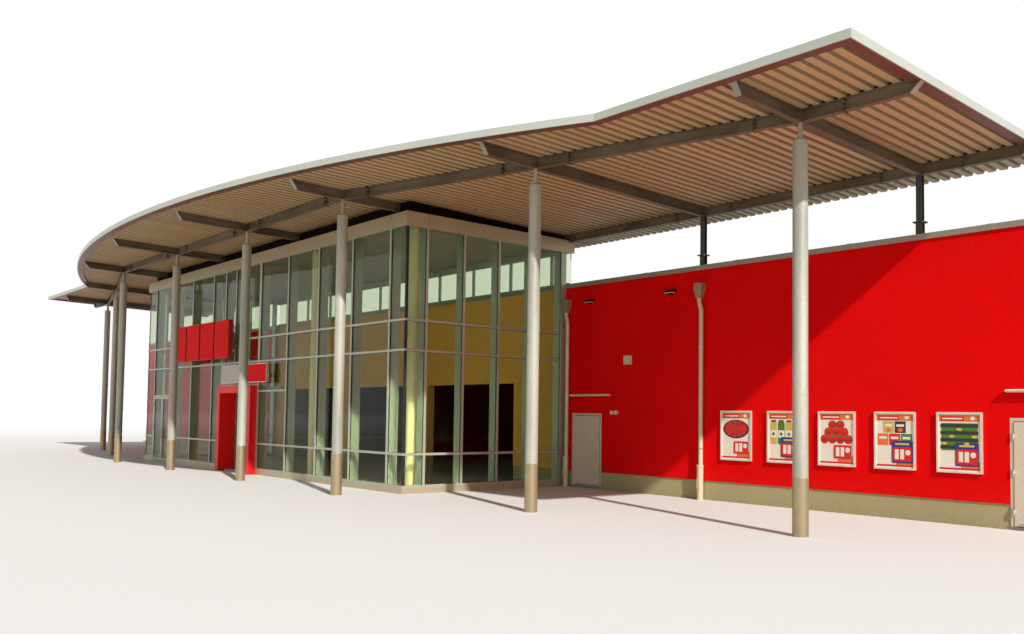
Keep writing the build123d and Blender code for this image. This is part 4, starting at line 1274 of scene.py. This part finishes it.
@dataclass
class PosterRow(Assembly):
    """Printed sheets in the wall frames: plain generic offers made of simple shapes."""

    border: float = 0.018
    back: float = 0.010
    sheet: float = 0.0015
    layer: float = 0.0011
    rim: float = 0.004
    proud: float = 0.0002

    def shape(self, mark: Panel, low: Vector, size: Vector, seat: float) -> Thing:
        """Model one mark as a thin raised shape.

        Args:
            mark: what to model.
            low: the sheet's lowest corner.
            size: its width and height.
            seat: the Y of the paper's face.

        Returns:
            The shape.
        """
        x, z = low.x + mark.x * size.x, low.z + mark.z * size.z
        half_w, half_h = mark.wide * size.x / 2, mark.high * size.z / 2
        front = seat - self.layer * mark.level
        if isinstance(mark, Disc):
            spot = rod((x, seat, z), (x, front, z), 1.0, 28)
            with picked(spot, lambda face: True):
                bpy.ops.transform.resize(value=(half_w, 1.0, half_h), center_override=(x, 0, z))
            return inset(spot, Face.FRONT, min(half_w, half_h) * 0.12, -self.proud)
        sheet = block((x - half_w, front, z - half_h), (x + half_w, seat, z + half_h))
        return round_corners(sheet, min(mark.soft, half_w * 0.9, half_h * 0.9))

    def build_sheets(self) -> None:
        """Print the paper and every mark, one piece for each ink."""
        shapes: dict[Ink, list[Thing]] = {ink: [] for ink in Ink}
        sheets = (bowl_sheet, jar_sheet, fruit_sheet, carton_sheet, crate_sheet)
        for (low, high), make in zip(solids("poster_frames"), sheets):
            low = Vector((low.x + self.border, high.y - self.back, low.z + self.border))
            high = Vector((high.x - self.border, high.y - self.back, high.z - self.border))
            seat = low.y - self.sheet
            paper = block((low.x, seat, low.z), high)
            shapes[PAPER].append(inset(paper, Face.FRONT, self.rim, -self.proud))
            for mark in COMMON_MARKS + make():
                shapes[mark.ink].append(self.shape(mark, low, high - low, seat))
        for ink, things in shapes.items():
            finish(things, ink.value[0], Print(*ink.value))


@dataclass
class WallFittings(Assembly):
    """Lamps, boxes, pipe clips and line lights on the hall's front wall."""

    soft: float = 0.003
    rim: float = 0.006
    hood_lift: float = 0.02
    hood_taper: Point = (0.92, 1.0, 0.45)
    hood_drop: Point = (0.0, 0.0, -0.006)
    hood_hollow: float = 0.008
    foot_in: float = 0.05
    foot_deep: float = 0.02
    foot_high: float = 0.03
    lens_low: Point = (0.014, 0.008, 0.016)
    lens_high: Point = (0.014, 0.012, 0.026)
    box_ends: tuple[float, float] = (0.010, 0.006)
    lid_taper: Point = (0.96, 1.0, 0.96)
    button_wide: float = 0.06
    button_deep: float = 0.035
    button_rim: float = 0.005
    button_step: float = 0.004
    cap_wide: float = 0.022
    cap_taper: Point = (1.0, 1.0, 0.55)
    cap_soft: float = 0.004
    tray_deep: float = 0.012
    tray_soft: float = 0.002
    tube_play: float = 0.001
    spine_share: float = 0.96
    pipe_in: float = 0.04
    pipe_radius: float = 0.028
    clip_heights: tuple[float, ...] = (0.62, 1.25, 1.88, 2.30)
    clip_high: float = 0.018
    clip_proud: float = 0.004
    clip_soft: float = 0.001
    ear: float = 0.040
    ear_half: float = 0.004
    ear_in: float = 0.002
    stub_half: float = 0.006
    stub_start: float = 0.02
    stub_in: float = 0.003
    swan: float = 0.16
    swan_shift: float = 0.012
    collar_shift: float = 0.008
    collar_levels: tuple[float, float] = (0.40, 0.428)
    collar_radius: float = 0.044
    cover_half: float = 0.024
    cover_front: float = 0.052
    cover_rear: float = 0.036
    cover_levels: tuple[float, float] = (0.13, 0.26)
    cover_rim: float = 0.005
    cover_step: float = 0.002
    screw_radius: float = 0.004
    screw_high: float = 0.005
    screw_in: float = 0.015

    def lamp(self, low: Vector, high: Vector) -> tuple[list[Thing], Thing]:
        """Model a small wall lamp: a sloping hood over a lens.

        Args:
            low: lowest corner of its room.
            high: highest corner.

        Returns:
            Shapes of the dark housing, and the pale lens.
        """
        hood = block((low.x, low.y, low.z + self.hood_lift), high)
        taper(hood, Face.FRONT, self.hood_taper, self.hood_drop)
        ease(inset(hood, Face.FOOT, self.rim, self.hood_hollow), self.soft)
        foot = block((low.x + self.foot_in, high.y - self.foot_deep, low.z),
                     (high.x - self.foot_in, high.y, low.z + self.foot_high))
        side, rear, top = self.lens_high
        lens = block(low + Vector(self.lens_low), (high.x - side, high.y - rear, low.z + top))
        return [hood, ease(foot, self.soft)], ease(lens, self.rim, 3)

    def junction(self, low: Vector, high: Vector) -> Thing:
        """Model the square box: a base, a lid with a step, and a sunk middle.

        Args:
            low: lowest corner.
            high: highest corner.

        Returns:
            The box.
        """
        left, right = self.box_ends
        box = block((low.x + left, low.y, low.z), (high.x - right, high.y, high.z))
        inset(box, Face.FRONT, self.rim, 0.0)
        taper(box, Face.FRONT, self.lid_taper)
        return ease(inset(box, Face.FRONT, 2 * self.rim, self.soft), self.soft)

    def button(self, low: Vector, high: Vector) -> Thing:
        """Model a round fitting: a stepped cap on a base ring.

        Args:
            low: lowest corner.
            high: highest corner.

        Returns:
            The fitting.
        """
        x, _, z = (low + high) / 2
        cap = rod((x, high.y, z), (x, low.y + self.button_step, z), (high.x - low.x) / 2, 32)
        inset(cap, Face.FRONT, self.button_rim, -self.button_step)
        return ease(inset(cap, Face.FRONT, self.rim, self.soft), self.soft / 2)

    def build_small(self) -> None:
        """Replace the plain solids of the small fittings."""
        dark, pale, white = [], [], []
        for low, high in solids("wall_fittings"):
            wide, deep, tall = high - low
            if wide > 2 * tall:
                hood, lens = self.lamp(low, high)
                dark += hood
                pale.append(lens)
            else:
                is_round = deep > self.button_deep and wide < self.button_wide
                white.append((self.button if is_round else self.junction)(low, high))
        housing = finish(dark, "lamp_housings", BLACK_METAL_AND_SHADE)
        finish(pale, "lamp_lenses", LAMP_PLASTIC)
        boxes = finish(white, "wall_boxes", BOX_PLASTIC)
        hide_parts("wall_fittings")
        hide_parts("wall_fittings")

    def build_line_lights(self) -> None:
        """Replace the plain bars over the doors with a tray, a bowed cover and two end caps."""
        covers, trays = [], []
        for low, high in solids("line_lights"):
            rear = high.y - self.tray_deep
            trays.append(ease(block((low.x, rear, low.z), high), self.tray_soft, 1))
            z, radius = (low.z + high.z) / 2, (high.z - low.z) / 2 - self.tube_play
            y, left, right = low.y + radius, low.x + self.cap_wide, high.x - self.cap_wide
            half = radius * self.spine_share
            covers += [rod((left, y, z), (right, y, z), radius, 28),
                       block((left, y, z - half), (right, rear, z + half))]
            for a, b in ((low.x, left), (right, high.x)):
                cap = block((a, low.y, low.z), (b, rear, high.z))
                trays.append(ease(taper(cap, Face.FRONT, self.cap_taper), self.cap_soft, 3))
        for piece in (finish(covers, "line_light_covers", LAMP_PLASTIC),
                      finish(trays, "line_light_trays", BOX_PLASTIC)):
            take(piece)
            bpy.ops.object.shade_smooth_by_angle(angle=math.radians(35))
            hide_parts("line_lights")

    def build_pipe_clips(self) -> None:
        """Hold both rain pipes with two-part clips, and close the stand pipes with a cover."""
        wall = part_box("hall_wall_front")[0].y
        y = wall - self.pipe_in
        clips, covers = [], []
        for _, high in solids("downpipes"):
            foot = high.x - self.pipe_in
            for z in self.clip_heights:
                x, top = foot, z + self.clip_high
                if z > high.z - self.swan:
                    x -= self.swan_shift
                band = rod((x, y, z), (x, y, top), self.pipe_radius + self.clip_proud, 32)
                ear = block((x - self.ear, y - self.ear_half, z + self.ear_in),
                            (x + self.ear, y + self.ear_half, top - self.ear_in))
                stub = block((x - self.stub_half, y + self.stub_start, z + self.stub_in),
                             (x + self.stub_half, wall, top - self.stub_in))
                clips += [ease(band, self.clip_soft, 1, 50), ease(ear, self.clip_soft, 1), stub]
            bottom, top = self.collar_levels
            collar = rod((foot, y - self.collar_shift, bottom), (foot, y - self.collar_shift, top),
                         self.collar_radius, 36)
            bottom, top = self.cover_levels
            face = y - self.cover_front
            door = block((foot - self.cover_half, face, bottom),
                         (foot + self.cover_half, y - self.cover_rear, top))
            inset(door, Face.FRONT, self.cover_rim, -self.cover_step)
            covers += [ease(collar, self.soft, 2, 50), ease(door, self.soft)]
            covers += [rod((foot, face - self.screw_high, z), (foot, face, z), self.screw_radius, 6)
                       for z in (bottom + self.screw_in, top - self.screw_in)]
        finish(clips, "pipe_clips", SMALL_STEEL)
        finish(covers, "stand_pipe_covers", PIPE_METAL)


@dataclass
class Signs(Assembly):
    """The bare two-tone panel over the way in, and the red blocks where letters would stand."""

    trim: float = 0.010
    proud: float = 0.002
    rim_deep: float = 0.006
    divide: float = 0.47
    face_proud: float = 0.001
    face_deep: float = 0.004
    face_sunk: float = 0.0004
    gap: float = 0.006
    corner: float = 0.036
    plate_deep: float = 0.003
    plate_rim: float = 0.012
    plate_step: float = 0.001

    def build_panel(self) -> None:
        """Frame the panel in light metal and face its right part in red."""
        low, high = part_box("sign_panel")
        rim = block((low.x, low.y - self.proud, low.z), (high.x, low.y + self.rim_deep, high.z))
        for face in (Face.FRONT, Face.REAR):
            with picked(rim, looks(face)):
                bpy.ops.mesh.inset(thickness=self.trim, use_even_offset=True)
                bpy.ops.mesh.delete(type="FACE")
        with picked(rim, lambda face: False):
            bpy.ops.mesh.select_mode(type="EDGE")
            bpy.ops.mesh.select_non_manifold()
            bpy.ops.mesh.bridge_edge_loops()
        finish([rim], "sign_panel_rim", PLAIN_ALUMINIUM)
        split = low.x + (high.x - low.x) * self.divide
        face = block((split, low.y - self.face_proud, low.z + self.trim),
                     (high.x - self.trim, low.y + self.face_deep, high.z - self.trim))
        inset(face, Face.FRONT, self.face_deep, self.face_sunk)
        finish([face], "sign_panel_red", SIGN_RED)

    def build_faces(self) -> None:
        """Give each block a bright face with a narrow border."""
        plates = []
        for low, high in solids("sign_blocks"):
            plate = block((low.x + self.gap, low.y - self.proud, low.z + self.gap),
                          (high.x - self.gap, low.y + self.plate_deep, high.z - self.gap))
            round_corners(plate, self.corner)
            plates.append(inset(plate, Face.FRONT, self.plate_rim, -self.plate_step))
        finish(plates, "sign_block_faces", SIGN_RED)


@dataclass
class DoorTrim(Assembly):
    """Locks, kick strips and thresholds of the doors, and the brush seals of the sliding leaves."""

    leaf_proud: float = 0.006
    sunk: float = 0.001
    lock_radius: float = 0.009
    lock_high: float = 0.395
    lock_in: float = 0.035
    lock_proud: float = 0.006
    lock_rim: float = 0.003
    lock_hollow: float = 0.002
    rail_long: float = 0.42
    rail_in: float = 0.02
    rail_deep: float = 0.012
    rail_levels: tuple[float, float] = (0.012, 0.028)
    rail_taper: Point = (1.0, 1.0, 0.4)
    rail_drop: Point = (0.0, 0.0, -0.003)
    brush: float = 0.0022
    brush_depths: tuple[float, float] = (0.008, 0.017)
    brush_foot: float = 0.01
    jamb_foot: float = 0.01
    side_door: tuple[float, float] = (-3.83, -2.93)
    main_sill: tuple[float, float] = (0.01, 0.09)
    side_sill: tuple[float, float] = (0.004, 0.05)
    sill_high: float = 0.004
    sill_play: float = 0.002

    def build_service_locks(self) -> None:
        """Put a lock rose below each lever and a drip rail above the foot."""
        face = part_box("hall_wall_front")[0].y - self.leaf_proud
        bottom, top = self.rail_levels
        for number in (1, 2):
            low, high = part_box(f"service_door_{number}")
            x = high.x - self.lock_in
            rose = rod((x, face + self.sunk, self.lock_high),
                       (x, face - self.lock_proud, self.lock_high), self.lock_radius)
            inset(rose, Face.FRONT, self.lock_rim, self.lock_hollow)
            rail = block((x - self.rail_long, face - self.rail_deep, low.z + bottom),
                         (high.x - self.rail_in, face + self.sunk, low.z + top))
            taper(rail, Face.FRONT, self.rail_taper, self.rail_drop)
            finish([rose, rail], f"door_fittings_{number}", SMALL_STEEL,
                   f"service_leaf_{number}")

    def build_brushes(self) -> None:
        """Run a brush seal down the meeting edge of each sliding leaf."""
        front, rear = self.brush_depths
        for side, sign, inward in (("left", 1, Face.RIGHT), ("right", -1, Face.LEFT)):
            low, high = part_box(f"slide_{side}_frame")
            edge = high.x if sign > 0 else low.x
            x0, x1 = sorted((edge, edge + sign * self.brush))
            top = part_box(f"slide_{side}_glass")[1].z
            strip = block((x0, low.y + front, low.z + self.brush_foot), (x1, low.y + rear, top))
            finish([taper(strip, inward, (1.0, 0.5, 1.0))], f"slide_{side}_brush", SEAL_RUBBER,
                   body=f"slide_leaf_{side}")

    def build_sills(self) -> None:
        """Lay a metal threshold in each doorway."""
        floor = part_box("foyer_floor")[1].z
        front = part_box("glazing_frame_front")[0].y
        left, right = sorted((box for box in solids("portal") if box[0].z < self.jamb_foot),
                             key=lambda pair: pair[0].x)
        sills = []
        for x0, x1, y0, y1 in ((left[1].x, right[0].x, *self.main_sill),
                               (*self.side_door, *self.side_sill)):
            sill = block((x0 + self.sill_play, front + y0, floor),
                         (x1 - self.sill_play, front + y1, floor + self.sill_high))
            sills.append(taper(sill, Face.TOP, (1.0, 0.8, 1.0)))
        finish(sills, "door_sills", SMALL_STEEL)


@dataclass
class RoofTrim(Assembly):
    """Covers over the joints of the parapet caps, and welded laps on the roof."""

    joint_pitch: float = 1.5
    joint_wide: float = 0.07
    joint_high: float = 0.0025
    joint_soft: float = 0.0008
    lip_deep: float = 0.001
    lap_pitch: float = 0.75
    lap_wide: float = 0.03
    lap_high: float = 0.002
    lap_set: float = 0.01

    def build_cap_joints(self) -> None:
        """Fold a cover over every joint of the front cap, and lay plates on the others."""
        covers = []
        for low, high in solids("parapet_caps"):
            way = 0 if high.x - low.x > high.y - low.y else 1
            front = way == 0 and low.y < 0
            length = high[way] - low[way]
            number = int(length // self.joint_pitch)
            for i in range(1, number + 1):
                at = low[way] + length * i / (number + 1)
                a, b = Vector((*low.xy, high.z)), Vector((*high.xy, high.z + self.joint_high))
                a[way], b[way] = at - self.joint_wide / 2, at + self.joint_wide / 2
                if front:
                    a.y -= self.joint_high
                    lip = block((a.x, a.y, low.z), (b.x, low.y + self.lip_deep, high.z))
                    covers.append(ease(lip, self.joint_soft, 1))
                covers.append(ease(block(a, b), self.joint_soft, 1))
        finish(covers, "cap_joints", PARAPET_METAL)

    def build_laps(self) -> None:
        """Lay the laps of the roofing sheets."""
        low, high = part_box("hall_roof")
        laps = []
        for i in range(1, int((high.x - low.x) // self.lap_pitch)):
            x = low.x + self.lap_pitch * i
            lap = block((x, low.y + self.lap_set, high.z),
                        (x + self.lap_wide, high.y - self.lap_set, high.z + self.lap_high))
            laps.append(taper(lap, Face.TOP, (0.9, 1.0, 1.0)))
        finish(laps, "roof_laps", ROOFING)


@dataclass
class Studio(Assembly):
    """A pale floor, a soft sky and one low soft lamp from the right."""

    sun_way: Point = (1.0, -0.31, 0.77)
    sun_colour: Colour = (1.0, 0.975, 0.93)
    sun_strength: float = 4.6
    sun_degrees: float = 1.2
    sky_colour: Colour = (0.93, 0.96, 1.0)
    sky_strength: float = 0.52
    floor_half: float = 400.0
    floor_level: float = -0.0005
    floor_near: Colour = (0.66, 0.65, 0.63)
    floor_far: Colour = (0.95, 0.95, 0.95)
    floor_bounce: Colour = (0.54, 0.43, 0.31)
    floor_fade: tuple[float, float] = (18.0, 70.0)

    def build_floor(self) -> None:
        """Lay the floor: pale to the eye and white far away, with the bounce of plain paving."""
        bpy.ops.mesh.primitive_plane_add(size=2 * self.floor_half, location=(0, 0, self.floor_level))
        floor = bpy.context.object
        floor.name = "studio_floor"
        r = Recipe("studio_floor")
        away = r.add("VectorMath", {0: r.here}, operation="LENGTH").outputs["Value"]
        pale = r.mix(r.span(away, *self.floor_fade), self.floor_near, self.floor_far)
        r.done(r.mix(r.seen(), self.floor_bounce, pale), 0.95, gloss=0.0)
        floor.data.materials.append(r.material)

    def build_sky(self) -> None:
        """Light everything evenly, with a white background for the camera, metal and glass."""
        world = bpy.data.worlds.new("studio_sky")
        bpy.context.scene.world = world
        world.use_nodes = True
        sky = Tree(world.node_tree)
        soft = sky.add("Background", {"Color": self.sky_colour, "Strength": self.sky_strength})
        pale = sky.add("Background", {"Color": EVEN, "Strength": 1.0})
        pick = sky.add("MixShader", {0: sky.seen(), 1: soft.outputs[0], 2: pale.outputs[0]})
        sky.add("OutputWorld", {"Surface": pick.outputs[0]})

    def build_lamp(self) -> None:
        """Hang the one large lamp."""
        lamp = bpy.data.lights.new("studio_lamp", "SUN")
        lamp.energy = self.sun_strength
        lamp.angle = math.radians(self.sun_degrees)
        lamp.color = self.sun_colour
        holder = bpy.data.objects.new("studio_lamp", lamp)
        bpy.context.scene.collection.objects.link(holder)
        holder.rotation_euler = Vector(self.sun_way).to_track_quat("Z", "Y").to_euler()


@dataclass
class Viewpoint(Assembly):
    """The camera, standing where the photograph was taken."""

    place: Point = (14.66, -13.0, 1.0)
    yaw: float = 0.8656
    pitch: float = 0.0493
    roll: float = 0.0151
    focal_pixels: float = 917.4
    picture_wide: float = 1024.0
    picture_high: float = 634.0
    centre_row: float = 370.4
    sensor: float = 36.0

    def build_camera(self) -> None:
        """Make the camera and look through it."""
        data = bpy.data.cameras.new("viewpoint")
        data.sensor_width = self.sensor
        data.lens = self.focal_pixels * self.sensor / self.picture_wide
        data.shift_y = (self.centre_row - self.picture_high / 2) / self.picture_wide
        data.clip_end = 1000.0
        camera = bpy.data.objects.new("viewpoint", data)
        bpy.context.scene.collection.objects.link(camera)
        ahead = Vector((-math.sin(self.yaw) * math.cos(self.pitch),
                        math.cos(self.yaw) * math.cos(self.pitch), math.sin(self.pitch)))
        level = Vector((math.cos(self.yaw), math.sin(self.yaw), 0.0))
        up = level.cross(ahead)
        right = level * math.cos(self.roll) + up * math.sin(self.roll)
        up = up * math.cos(self.roll) - level * math.sin(self.roll)
        turn = Matrix((right, up, -ahead)).transposed().to_4x4()
        camera.matrix_world = Matrix.Translation(self.place) @ turn
        bpy.context.scene.camera = camera


def main() -> None:
    """Dress the nodes, add the small pieces, and set up floor, light and camera."""
    logging.basicConfig(level=logging.INFO, format="%(message)s")
    dress_nodes()
    for assembly in (CanopyHardware(), GlazingTrim(), PosterRow(), WallFittings(), Signs(),
                     DoorTrim(), RoofTrim(), Studio(), Viewpoint()):
        assembly.build()
    bpy.context.scene.view_settings.view_transform = "Standard"


if __name__ == "__main__":
    main()
